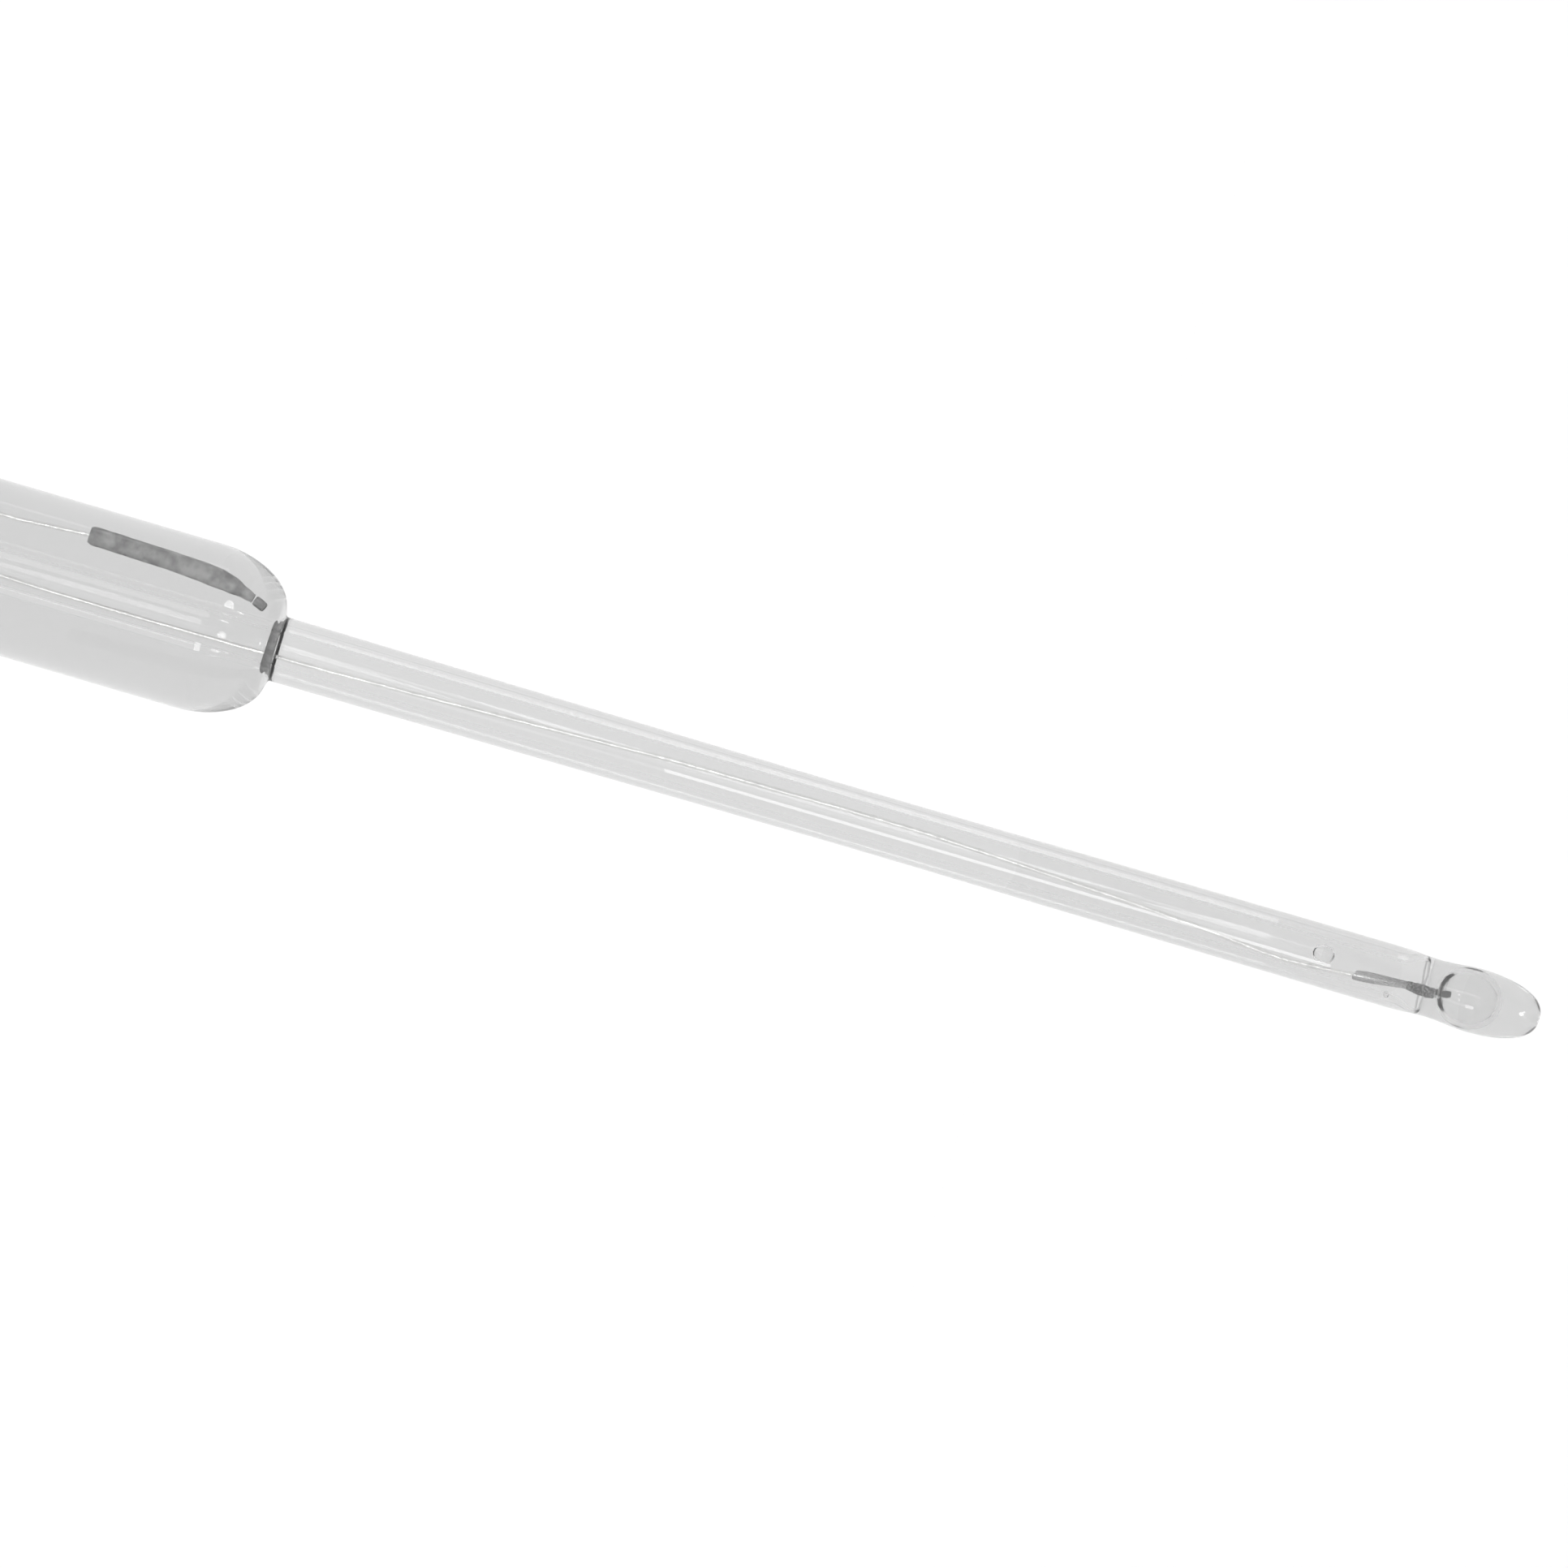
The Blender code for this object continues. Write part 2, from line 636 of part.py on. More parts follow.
def main():
    make_outer_shaft()
    make_inner_tube()
    make_membrane_bulb()
    make_ceramic_junction()
    make_neck_ring()
    make_reference_cartridge()
    make_cartridge_plug()
    make_reference_wire()
    make_measuring_wire()
    make_contact_sleeve()
    make_silver_chloride_pellet()
    make_contact_tip()
    make_inner_tube_stopper()
    make_shaft_potting()
    make_head_body()
    make_connector_bush()
    make_connector_o_ring()
    make_contacts()
    make_solder_joints()
    make_refill_sleeve()


main()
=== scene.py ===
"""Finished surfaces of the combination pH electrode, laid out as an add-on and run as a script.

Every piece is made in metres in the frame of the CAD model: Z is the electrode's axis, the
bulb's tip is at the origin, and the reference cartridge is on the +X side.
"""

import math

import bmesh
import bpy
import numpy as np
from bpy.props import FloatProperty, FloatVectorProperty, IntProperty, PointerProperty
from bpy.types import Operator, Panel, PropertyGroup
from mathutils import Matrix, Vector, noise


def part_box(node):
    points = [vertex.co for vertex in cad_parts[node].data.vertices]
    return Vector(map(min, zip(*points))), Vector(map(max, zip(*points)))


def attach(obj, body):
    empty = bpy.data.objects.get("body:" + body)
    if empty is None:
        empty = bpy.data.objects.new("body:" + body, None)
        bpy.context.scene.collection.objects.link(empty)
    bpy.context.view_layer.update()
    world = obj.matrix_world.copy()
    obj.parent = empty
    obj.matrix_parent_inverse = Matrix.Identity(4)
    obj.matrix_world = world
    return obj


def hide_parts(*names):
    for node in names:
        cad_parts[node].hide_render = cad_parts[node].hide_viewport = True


bl_info = {
    "name": "pH Electrode Finish",
    "version": (1, 0, 0),
    "blender": (4, 5, 0),
    "location": "3D View > Sidebar > Electrode",
    "description": "Glass, liquids, silver elements and plug head of a combination pH electrode",
    "category": "Object",
}

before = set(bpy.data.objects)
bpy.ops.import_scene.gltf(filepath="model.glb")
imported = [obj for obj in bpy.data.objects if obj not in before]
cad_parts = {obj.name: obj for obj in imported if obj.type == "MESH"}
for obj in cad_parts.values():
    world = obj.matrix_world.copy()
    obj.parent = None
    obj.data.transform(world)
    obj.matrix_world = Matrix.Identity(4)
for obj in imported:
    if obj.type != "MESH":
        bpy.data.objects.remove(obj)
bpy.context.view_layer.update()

MM = 0.001
ELECTRODE = "electrode"
SLEEVE = "sleeve"
FULL_TURN = 2.0 * math.pi
WHITE = (1.0, 1.0, 1.0)
HAIR = 1e-6
FILM = 0.01 * MM
THREAD_TURNS = 11.0
RIDGE = 0.26 * MM
SEAL_DEPTH = 0.16 * MM
RING_RISE = 0.34 * MM
LAMP_RING = 0.85
HIGH_LAMP = 0.3
NECK_RADIUS = 2.8 * MM
NECK_CORNER = ((0.1, 0.02), (0.02, -0.04), (0.0, -0.12))
FINISHES = {}


# Settings


def length(name, description, millimetres):
    return FloatProperty(
        name=name, description=description, default=millimetres * MM, subtype="DISTANCE"
    )


def tone(name, description, colour):
    return FloatVectorProperty(
        name=name, description=description, default=colour, subtype="COLOR", min=0.0, max=1.0
    )


class GlassSettings(PropertyGroup):
    # The grey tints of the shaft, stem and bulb are painted shade: the glass is clear, and the grey stands in
    # for the dim surround seen through it. The shaft is painted a little darker than the stem and bulb.
    shaft_painted_shade: tone(
        "Shaft tint", "Grey of the light that comes through the wide shaft", (0.6, 0.6, 0.6)
    )
    stem_painted_shade: tone("Stem tint", "Grey of the light that comes through the stem", (0.66, 0.66, 0.66))
    bulb_painted_shade: tone("Bulb tint", "Grey of the light that comes through the bulb", (0.66, 0.66, 0.66))
    glass_index: FloatProperty(
        name="Glass index", description="Refractive index of the glass", default=1.52
    )
    liquid_index: FloatProperty(
        name="Liquid index", description="Refractive index of the filling", default=1.34
    )
    striae: length("Striae", "Depth of the draw lines in the glass", 0.0008)
    segments: IntProperty(name="Segments", description="Sides of a turned glass piece", default=128)
    reference_level: length("Reference level", "Height of the reference electrolyte's surface", 128.0)
    buffer_level: length("Buffer level", "Height of the inner buffer's surface", 146.0)


class BubbleSettings(PropertyGroup):
    bulb_height: length("Bulb bubble height", "Height of the middle of the bulb's air bubble", 5.2)
    bulb_half_length: length(
        "Bulb bubble half length", "Half of the bubble's length along the axis", 2.28
    )
    bulb_half_width: length(
        "Bulb bubble half width", "Half of the bubble's width across the axis", 1.74
    )
    tube_height: length("Tube bubble height", "Height of the small bubble in the inner tube", 15.85)
    tube_half_length: length("Tube bubble half length", "Half of the small bubble's length", 0.8)
    tube_half_width: length("Tube bubble half width", "Half of the small bubble's width", 0.52)


class ElementSettings(PropertyGroup):
    wire_radius: length("Wire radius", "Radius of both silver wires", 0.125)
    cartridge_colour: tone("Cartridge", "Grey of the reference cartridge", (0.5, 0.5, 0.5))
    pellet_colour: tone("Pellet", "Grey of the silver chloride", (0.2, 0.2, 0.2))


class HeadSettings(PropertyGroup):
    plastic_colour: tone("Head colour", "Colour of the moulded head", (0.045, 0.047, 0.05))
    slider_colour: tone("Sleeve colour", "Colour of the refill sleeve", (0.12, 0.125, 0.13))
    rib_count: IntProperty(name="Grip ribs", description="Ribs round the head", default=28)
    thread_pitch: length("Thread pitch", "Pitch of the plug head's thread", 0.8)


class StageSettings(PropertyGroup):
    view_width: length("View width", "Width of the picture at the electrode", 110.05)
    camera_distance: FloatProperty(
        name="Camera distance", description="From the camera to the axis", default=0.9,
        subtype="DISTANCE",
    )
    tilt: FloatProperty(
        name="Tilt", description="Slope of the axis below the picture's horizontal",
        default=math.radians(16.38), subtype="ANGLE",
    )
    surround: FloatProperty(
        name="Surround", description="Brightness of the white surround", default=1.05
    )


# Shapes


def spaced(first, last, count):
    return [first + (last - first) * i / (count - 1) for i in range(count)]


def blend(start, end, share):
    """A value that leaves start and reaches end level, as share runs from 0 to 1."""
    share = min(1.0, max(0.0, share))
    return start + (end - start) * (1.0 - math.cos(math.pi * share)) / 2.0


def node_outline(node, outer):
    """(radius, height) points down the +X side of a turned CAD node, on its outer or inner wall."""
    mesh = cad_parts[node].data
    leaning = {}
    for face in mesh.polygons:
        for index in face.vertices:
            x, y, z = mesh.vertices[index].co
            if abs(y) < 1e-6 and x > -1e-6:
                key = (round(x, 7), round(z, 7))
                leaning[key] = leaning.get(key, Vector()) + face.normal
    points = []
    for (radius, z), normal in leaning.items():
        outward = -normal.z if radius < 1e-6 else normal.x
        if (outward > 0.0) == outer:
            points.append((max(radius, 0.0), z))
    return sorted(points, key=lambda point: -point[1])


def smoothed(points, step, hold=1.0 * MM):
    """The outline through the points as one smooth curve; long straight stretches stay straight."""
    held = [points[0]]
    for a, b in zip(points, points[1:]):
        length = math.dist(a, b)
        if length > 4.0 * hold:
            share = hold / length
            held.append(tuple(p + (q - p) * share for p, q in zip(a, b)))
            held.append(tuple(q + (p - q) * share for p, q in zip(a, b)))
        held.append(b)
    row = np.array(held)
    row = np.vstack([2.0 * row[0] - row[1], row, 2.0 * row[-1] - row[-2]])
    fine = []
    for p0, p1, p2, p3 in zip(row, row[1:], row[2:], row[3:]):
        spans = [max(1e-9, float(np.linalg.norm(b - a)) ** 0.5) for a, b in ((p0, p1), (p1, p2), (p2, p3))]
        leave = ((p1 - p0) / spans[0] - (p2 - p0) / (spans[0] + spans[1]) + (p2 - p1) / spans[1]) * spans[1]
        reach = ((p2 - p1) / spans[1] - (p3 - p1) / (spans[1] + spans[2]) + (p3 - p2) / spans[2]) * spans[1]
        count = max(1, min(40, round(float(np.linalg.norm(p2 - p1)) / step)))
        for i in range(count):
            t = i / count
            h = (2 * t**3 - 3 * t**2 + 1, t**3 - 2 * t**2 + t, -2 * t**3 + 3 * t**2, t**3 - t**2)
            fine.append(tuple(h[0] * p1 + h[1] * leave + h[2] * p2 + h[3] * reach))
    fine.append(tuple(row[-2]))
    return [(max(0.0, radius), z) for radius, z in fine]


def smooth_route(points, per_span):
    """A smooth route through 3D points, with per_span steps between neighbours."""
    row = [Vector(point) for point in points]
    row = [row[0] * 2.0 - row[1]] + row + [row[-1] * 2.0 - row[-2]]
    route = []
    for p0, p1, p2, p3 in zip(row, row[1:], row[2:], row[3:]):
        for i in range(per_span):
            t = i / per_span
            route.append(
                0.5
                * (
                    2.0 * p1
                    + (p2 - p0) * t
                    + (2.0 * p0 - 5.0 * p1 + 4.0 * p2 - p3) * t**2
                    + (3.0 * p1 - p0 - 3.0 * p2 + p3) * t**3
                )
            )
    route.append(row[-2])
    return route


def link(name, mesh, materials, angle=40.0):
    """The mesh as a piece at the origin, shaded smooth except over its sharp edges."""
    for material in materials:
        mesh.materials.append(material)
    mesh.shade_smooth()
    mesh.set_sharp_from_angle(angle=math.radians(angle))
    piece = bpy.data.objects.new(name, mesh)
    bpy.context.scene.collection.objects.link(piece)
    return piece


def finish_piece(piece, body, nodes):
    """The piece rides on its body and stands for its CAD nodes, which are hidden."""
    if nodes:
        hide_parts(*nodes)
    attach(piece, body)
    return piece


class Shell:
    """Vertices and faces of one piece, gathered ring by ring."""

    def __init__(self):
        self.points = []
        self.faces = []
        self.slots = []

    def turn(self, profile, slot_of, closed, segments, shape=None):
        """Turns (radius, height) points about Z; slot_of gives a strip's material from its ends.

        shape, if given, moves a point: it takes and returns (x, y, z).
        """
        rings = []
        for radius, z in profile:
            if radius < 1e-8:
                place = (0.0, 0.0, z)
                rings.append([len(self.points)] * segments)
                self.points.append(shape(place) if shape else place)
                continue
            first = len(self.points)
            for k in range(segments):
                angle = FULL_TURN * k / segments
                place = (radius * math.cos(angle), radius * math.sin(angle), z)
                self.points.append(shape(place) if shape else place)
            rings.append(list(range(first, first + segments)))
        pairs = list(zip(range(len(profile)), range(1, len(profile))))
        if closed:
            pairs.append((len(profile) - 1, 0))
        for i, j in pairs:
            slot = slot_of(profile[i], profile[j])
            for k in range(segments):
                n = (k + 1) % segments
                corners = [rings[i][k], rings[j][k], rings[j][n], rings[i][n]]
                whole = [c for at, c in enumerate(corners) if c != corners[at - 1]]
                if len(whole) > 2:
                    self.faces.append(whole)
                    self.slots.append(slot)

    def sweep(self, route, radii, sides, slot=0, section=None, twist=0.0, bumps=None):
        """A closed rod along the route; section gives its radius by angle, twist turns it by length."""
        side = Vector((1.0, 0.0, 0.0))
        rings = []
        run = 0.0
        for at, place in enumerate(route):
            ahead = route[min(at + 1, len(route) - 1)] - route[max(at - 1, 0)]
            ahead.normalize()
            side = (side - ahead * side.dot(ahead)).normalized()
            other = ahead.cross(side)
            if at:
                run += (place - route[at - 1]).length
            first = len(self.points)
            for k in range(sides):
                angle = FULL_TURN * k / sides
                reach = radii[at] * (section(angle) if section else 1.0)
                turned = angle + twist * run
                spoke = side * math.cos(turned) + other * math.sin(turned)
                if bumps:
                    reach += bumps(place + spoke * reach)
                self.points.append(tuple(place + spoke * reach))
            rings.append(first)
        for a, b in zip(rings, rings[1:]):
            for k in range(sides):
                n = (k + 1) % sides
                self.faces.append([a + k, a + n, b + n, b + k])
                self.slots.append(slot)
        self.faces.append([rings[0] + k for k in reversed(range(sides))])
        self.faces.append([rings[-1] + k for k in range(sides)])
        self.slots += [slot, slot]

    def piece(self, name, materials, angle=40.0):
        mesh = bpy.data.meshes.new(name)
        mesh.from_pydata(self.points, [], self.faces)
        mesh.polygons.foreach_set("material_index", self.slots)
        mesh.update()
        return link(name, mesh, materials, angle)


def one_slot(_, __):
    return 0


def bubble_slot(_, __):
    return 2


def turned(name, profile, material, closed=True, segments=96, angle=40.0):
    """A plain turned piece of one finish."""
    shell = Shell()
    shell.turn(profile, one_slot, closed, segments)
    return shell.piece(name, [material], angle)


def rounded(profile, radius, steps=4, closed=True):
    """The outline with each sharp corner off the axis replaced by a small arc."""
    count = len(profile)
    result = []
    for at in range(count):
        here = Vector(profile[at])
        if not closed and at in (0, count - 1):
            result.append(tuple(here))
            continue
        before = Vector(profile[at - 1]) - here
        after = Vector(profile[(at + 1) % count]) - here
        if min(before.length, after.length) < 1e-8:
            result.append(tuple(here))
            continue
        turn = math.pi - before.angle(after)
        reach = radius * math.tan(turn / 2.0)
        reach = min(reach, 0.45 * before.length, 0.45 * after.length)
        if turn < math.radians(20.0):
            result.append(tuple(here))
            continue
        start = here + before.normalized() * reach
        end = here + after.normalized() * reach
        for i in range(steps + 1):
            t = i / steps
            spot = start * (1 - t) ** 2 + here * 2 * t * (1 - t) + end * t**2
            result.append((spot.x, spot.y))
    return result


# Finishes


def new_material(name):
    material = bpy.data.materials.new(name + "_finish")
    material.use_nodes = True
    tree = material.node_tree
    return material, tree, tree.nodes["Principled BSDF"]


def pattern(tree, scale, detail=3.0, stretch=(1.0, 1.0, 1.0), roughness=0.5):
    """Noise on the piece's own coordinates, stretched along the axes."""
    place = tree.nodes.new("ShaderNodeTexCoord")
    mapping = tree.nodes.new("ShaderNodeMapping")
    mapping.inputs["Scale"].default_value = stretch
    grain = tree.nodes.new("ShaderNodeTexNoise")
    grain.inputs["Scale"].default_value = scale
    grain.inputs["Detail"].default_value = detail
    grain.inputs["Roughness"].default_value = roughness
    tree.links.new(place.outputs["Object"], mapping.inputs["Vector"])
    tree.links.new(mapping.outputs["Vector"], grain.inputs["Vector"])
    return grain.outputs["Fac"]


def shades(tree, factor, dark, light, low=0.35, high=0.65):
    """Two colours mixed by a factor."""
    ramp = tree.nodes.new("ShaderNodeValToRGB")
    ramp.color_ramp.elements[0].position = low
    ramp.color_ramp.elements[1].position = high
    ramp.color_ramp.elements[0].color = (*dark, 1.0)
    ramp.color_ramp.elements[1].color = (*light, 1.0)
    tree.links.new(factor, ramp.inputs["Fac"])
    return ramp.outputs["Color"]


def spread(tree, factor, low, high):
    """A factor brought into a range of values."""
    node = tree.nodes.new("ShaderNodeMapRange")
    node.inputs["To Min"].default_value = low
    node.inputs["To Max"].default_value = high
    tree.links.new(factor, node.inputs["Value"])
    return node.outputs["Result"]


def relief(tree, factor, distance, strength=1.0):
    bump = tree.nodes.new("ShaderNodeBump")
    bump.inputs["Strength"].default_value = strength
    bump.inputs["Distance"].default_value = distance
    tree.links.new(factor, bump.inputs["Height"])
    return bump.outputs["Normal"]


def scaled(colour, factor):
    return tuple(min(1.0, channel * factor) for channel in colour)


def clear(name, index, tint=(1.0, 1.0, 1.0), striae=0.0, clarity=1.0):
    """A clear surface. index is the step in refractive index from outside it to inside it; tint greys what is
    seen through it, and on the shaft, stem and bulb that grey is painted shade.
    """
    material, tree, shader = new_material(name)
    shader.inputs["Base Color"].default_value = (*tint, 1.0)
    shader.inputs["Transmission Weight"].default_value = clarity
    shader.inputs["Roughness"].default_value = 0.0
    shader.inputs["IOR"].default_value = index
    if striae:
        lines = pattern(tree, 900.0, 2.0, stretch=(1.0, 1.0, 0.004))
        tree.links.new(relief(tree, lines, striae), shader.inputs["Normal"])
    return material


def glass_finishes():
    """The clear surfaces that all the glass pieces share, made once."""
    if "wetted_glass" in FINISHES:
        return FINISHES
    settings = bpy.context.scene.electrode_glass
    glass = settings.glass_index
    striae = settings.striae
    for name, index, tint, lines, clarity in (
        # Shaft, stem and bulb glass take the painted shade greys, which stand in for the dim surround seen
        # through clear glass.
        ("shaft_glass", glass, tuple(settings.shaft_painted_shade), striae, 1.0),
        ("stem_glass", glass, tuple(settings.stem_painted_shade), striae, 1.0),
        ("bulb_glass", glass, tuple(settings.bulb_painted_shade), striae * 0.5, 0.92),
        ("dry_glass", glass, WHITE, striae * 0.4, 1.0),
        ("wetted_glass", glass / settings.liquid_index, WHITE, 0.0, 1.0),
        ("seal_glass", glass / settings.liquid_index, (0.86, 0.86, 0.86), striae, 0.82),
        ("fused_glass", 1.0, WHITE, 0.0, 1.0),
        ("liquid_side", 1.0, WHITE, 0.0, 1.0),
        ("liquid_face", settings.liquid_index, WHITE, 0.0, 1.0),
        ("bubble_face", settings.liquid_index, WHITE, 0.0, 0.93),
    ):
        FINISHES[name] = clear(name, index, tint, lines, clarity)
    return FINISHES


def plain_finish(name, colour, roughness, metallic=0.0, grain=400.0, mottle=0.12, depth=0.01 * MM,
                 stretch=(1.0, 1.0, 1.0), specular=0.5):
    """An opaque finish with mottled colour, uneven gloss and a fine relief."""
    material, tree, shader = new_material(name)
    shader.inputs["Metallic"].default_value = metallic
    shader.inputs["Specular IOR Level"].default_value = specular
    broad = pattern(tree, grain * 0.3, 4.0, stretch)
    fine = pattern(tree, grain * 4.0, 3.0, stretch)
    colours = shades(tree, broad, scaled(colour, 1.0 - mottle), scaled(colour, 1.0 + mottle))
    tree.links.new(colours, shader.inputs["Base Color"])
    gloss = spread(tree, fine, roughness * 0.8, min(1.0, roughness * 1.25))
    tree.links.new(gloss, shader.inputs["Roughness"])
    tree.links.new(relief(tree, fine, depth), shader.inputs["Normal"])
    return material


def coat(node, material):
    """Gives a CAD node that keeps its shape a finish of its own."""
    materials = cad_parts[node].data.materials
    materials.clear()
    materials.append(material)


# Glass pieces


def glass_piece(shell, name, finish_names, nodes, angle=40.0):
    """A piece of the electrode with some of the shared clear surfaces."""
    finishes = glass_finishes()
    piece = shell.piece(name, [finishes[finish] for finish in finish_names], angle)
    return finish_piece(piece, ELECTRODE, nodes)


def meeting_level():
    """Height where the stem and the bulb are fused."""
    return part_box("outer_shaft")[0][2]


class ELECTRODE_OT_outer_shaft(Operator):
    """The wide tube, the shoulder and the stem as one piece of clear glass"""

    bl_idname = "electrode.outer_shaft"
    bl_label = "Outer Shaft"

    def execute(self, context):
        settings = context.scene.electrode_glass
        outside = smoothed(self.cornered(node_outline("outer_shaft", True)), 0.1 * MM)
        inside = smoothed(node_outline("outer_shaft", False), 0.25 * MM)
        inside = with_level(inside, settings.reference_level)
        foot = meeting_level() + 0.01 * MM
        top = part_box("outer_shaft")[1][2] - 0.01 * MM
        outer_points = set(outside)
        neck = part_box("neck_ring")[0][2]

        def slot_of(a, b):
            if a in outer_points and b in outer_points:
                return 0 if max(a[1], b[1]) > neck else 4
            if min(a[1], b[1]) >= top:
                return 3
            if max(a[1], b[1]) <= foot:
                return 2
            return 3 if min(a[1], b[1]) >= settings.reference_level - HAIR else 1

        shell = Shell()
        shell.turn(outside + list(reversed(inside)), slot_of, True, settings.segments)
        names = ("shaft_glass", "wetted_glass", "fused_glass", "dry_glass", "stem_glass")
        glass_piece(shell, "outer_shaft_glass", names, ["outer_shaft"])
        return {"FINISHED"}

    def cornered(self, points):
        """The outline with a tighter corner where the shoulder meets the stem."""
        at = next(i for i, (radius, _) in enumerate(points) if radius < NECK_RADIUS)
        wall, z = points[at + 1][0], points[at][1]
        corner = [(wall + out * MM, z + up * MM) for out, up in NECK_CORNER]
        return points[:at] + corner + points[at + 2:]


def with_level(points, level):
    """The falling outline with one more point where it passes a height."""
    result = []
    for a, b in zip(points, points[1:]):
        result.append(a)
        if a[1] > level > b[1]:
            share = (a[1] - level) / (a[1] - b[1])
            result.append((a[0] + (b[0] - a[0]) * share, level))
    result.append(points[-1])
    return result


class ELECTRODE_OT_inner_tube(Operator):
    """The inner tube, flared out to the wall of the stem at the ring seal"""

    bl_idname = "electrode.inner_tube"
    bl_label = "Inner Tube"

    def execute(self, context):
        settings = context.scene.electrode_glass
        outside = smoothed(node_outline("inner_tube", True), 0.15 * MM)
        inside = smoothed(node_outline("inner_tube", False), 0.15 * MM)
        outside = with_level(outside, settings.reference_level)
        inside = with_level(inside, settings.buffer_level)
        outer_points = set(outside)
        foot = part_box("inner_tube")[0][2]

        def slot_of(a, b):
            if max(a[1], b[1]) < foot + SEAL_DEPTH:
                return 2
            outer = a in outer_points and b in outer_points
            level = settings.reference_level if outer else settings.buffer_level
            return 1 if min(a[1], b[1]) >= level - HAIR else 0

        def uneven(place):
            """The seal was made by hand, so the flare's foot is a little uneven."""
            x, y, z = place
            share = blend(1.0, 0.0, (z - foot) / (2.0 * MM))
            angle = math.atan2(y, x)
            lift = 0.16 * math.sin(angle + 0.6) + 0.07 * math.sin(3.0 * angle)
            lift += 0.03 * math.sin(7.0 * angle)
            return (x, y, z + share * lift * MM)

        shell = Shell()
        shell.turn(outside + list(reversed(inside)), slot_of, True, settings.segments, uneven)
        names = ("wetted_glass", "dry_glass", "seal_glass")
        glass_piece(shell, "inner_tube_glass", names, ["inner_tube"])
        return {"FINISHED"}


class ELECTRODE_OT_membrane_bulb(Operator):
    """The thin closed bulb of pH glass"""

    bl_idname = "electrode.membrane_bulb"
    bl_label = "Membrane Bulb"

    def execute(self, context):
        settings = context.scene.electrode_glass
        outside = node_outline("membrane_bulb", True)
        inside = node_outline("membrane_bulb", False)
        meeting = meeting_level()
        rim = node_outline("outer_shaft", True)[-1][0]
        outside[0] = (rim, meeting)
        inside[0] = (inside[0][0], meeting)
        outside = smoothed(outside, 0.1 * MM)
        inside = smoothed(inside, 0.1 * MM)
        outer_points = set(outside)

        def slot_of(a, b):
            if a in outer_points and b in outer_points:
                return 0
            return 1 if min(a[1], b[1]) < meeting - HAIR else 2

        shell = Shell()
        profile = list(reversed(inside)) + outside
        shell.turn(profile, slot_of, False, settings.segments)
        names = ("bulb_glass", "wetted_glass", "fused_glass")
        glass_piece(shell, "membrane_bulb_glass", names, ["membrane_bulb"])
        return {"FINISHED"}


class ELECTRODE_OT_inner_buffer(Operator):
    """The clear liquid in the bulb and the inner tube, with its two air bubbles"""

    bl_idname = "electrode.inner_buffer"
    bl_label = "Inner Buffer"

    def execute(self, context):
        glass = context.scene.electrode_glass
        bubbles = context.scene.electrode_bubbles
        tube = [(r - FILM, z) for r, z in smoothed(node_outline("inner_tube", False), 0.4 * MM)
                if z < glass.buffer_level]
        wall = smoothed(node_outline("membrane_bulb", False), 0.2 * MM)
        bulb = [(max(0.0, r - FILM), z) for r, z in wall]
        top = [(0.0, glass.buffer_level), (tube[0][0], glass.buffer_level)]
        profile = top + tube + bulb
        profile[-1] = (0.0, profile[-1][1] + FILM)

        def slot_of(a, b):
            return 1 if min(a[1], b[1]) >= glass.buffer_level - HAIR else 0

        shell = Shell()
        shell.turn(profile, slot_of, False, 64)
        self.bubble(
            shell,
            Vector((0.02 * MM, -0.2 * MM, bubbles.bulb_height)),
            Vector((bubbles.bulb_half_width, bubbles.bulb_half_width * 0.9, bubbles.bulb_half_length)),
            2.0,
        )
        self.bubble(
            shell,
            Vector((0.1 * MM, -0.2 * MM, bubbles.tube_height)),
            Vector((bubbles.tube_half_width, bubbles.tube_half_width, bubbles.tube_half_length)),
            2.4,
        )
        names = ("liquid_side", "liquid_face", "bubble_face")
        glass_piece(shell, "inner_buffer", names, [], 60.0)
        return {"FINISHED"}

    def bubble(self, shell, centre, half, fullness):
        """A rounded hollow in the liquid, so its faces look into the bubble."""
        profile = []
        for angle in spaced(-math.pi / 2.0, math.pi / 2.0, 41):
            z = math.sin(angle)
            radius = max(0.0, 1.0 - abs(z) ** fullness) ** 0.5
            profile.append((radius if abs(z) < 1.0 - 1e-9 else 0.0, z))

        def placed(place):
            return (
                centre.x + place[0] * half.x,
                centre.y + place[1] * half.y,
                centre.z + place[2] * half.z,
            )

        shell.turn(profile, bubble_slot, False, 96, placed)


class ELECTRODE_OT_reference_electrolyte(Operator):
    """The clear liquid between the shaft and the inner tube, with its curved surface"""

    bl_idname = "electrode.reference_electrolyte"
    bl_label = "Reference Electrolyte"

    def execute(self, context):
        settings = context.scene.electrode_glass
        level = settings.reference_level
        outside = [(r - FILM, z) for r, z in smoothed(node_outline("outer_shaft", False), 0.5 * MM)
                   if z < level]
        tube = [(r + FILM, z) for r, z in smoothed(node_outline("inner_tube", True), 0.5 * MM)
                if z < level]
        tube = [point for point in tube if point[1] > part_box("inner_tube")[0][2] + 0.2 * MM]
        outside = [point for point in outside if point[1] > tube[-1][1]]
        wide = outside[0][0]
        narrow = tube[0][0]
        meniscus = []
        for share in spaced(0.0, 1.0, 17):
            climb = math.exp(-share * 7.0) + math.exp(-(1.0 - share) * 7.0)
            meniscus.append((narrow + (wide - narrow) * share, level + climb * 0.8 * MM))

        def slot_of(a, b):
            return 1 if min(a[1], b[1]) >= level - HAIR else 0

        shell = Shell()
        shell.turn(meniscus + outside + list(reversed(tube)), slot_of, True, 96)
        names = ("liquid_side", "liquid_face")
        glass_piece(shell, "reference_electrolyte", names, [], 60.0)
        return {"FINISHED"}


# Silver elements


def silver_finish(name="silver_wire", roughness=0.18):
    if name not in FINISHES:
        FINISHES[name] = plain_finish(
            name, (0.93, 0.93, 0.92), roughness, 1.0, grain=2500.0, mottle=0.05, depth=0.02 * MM
        )
    return FINISHES[name]


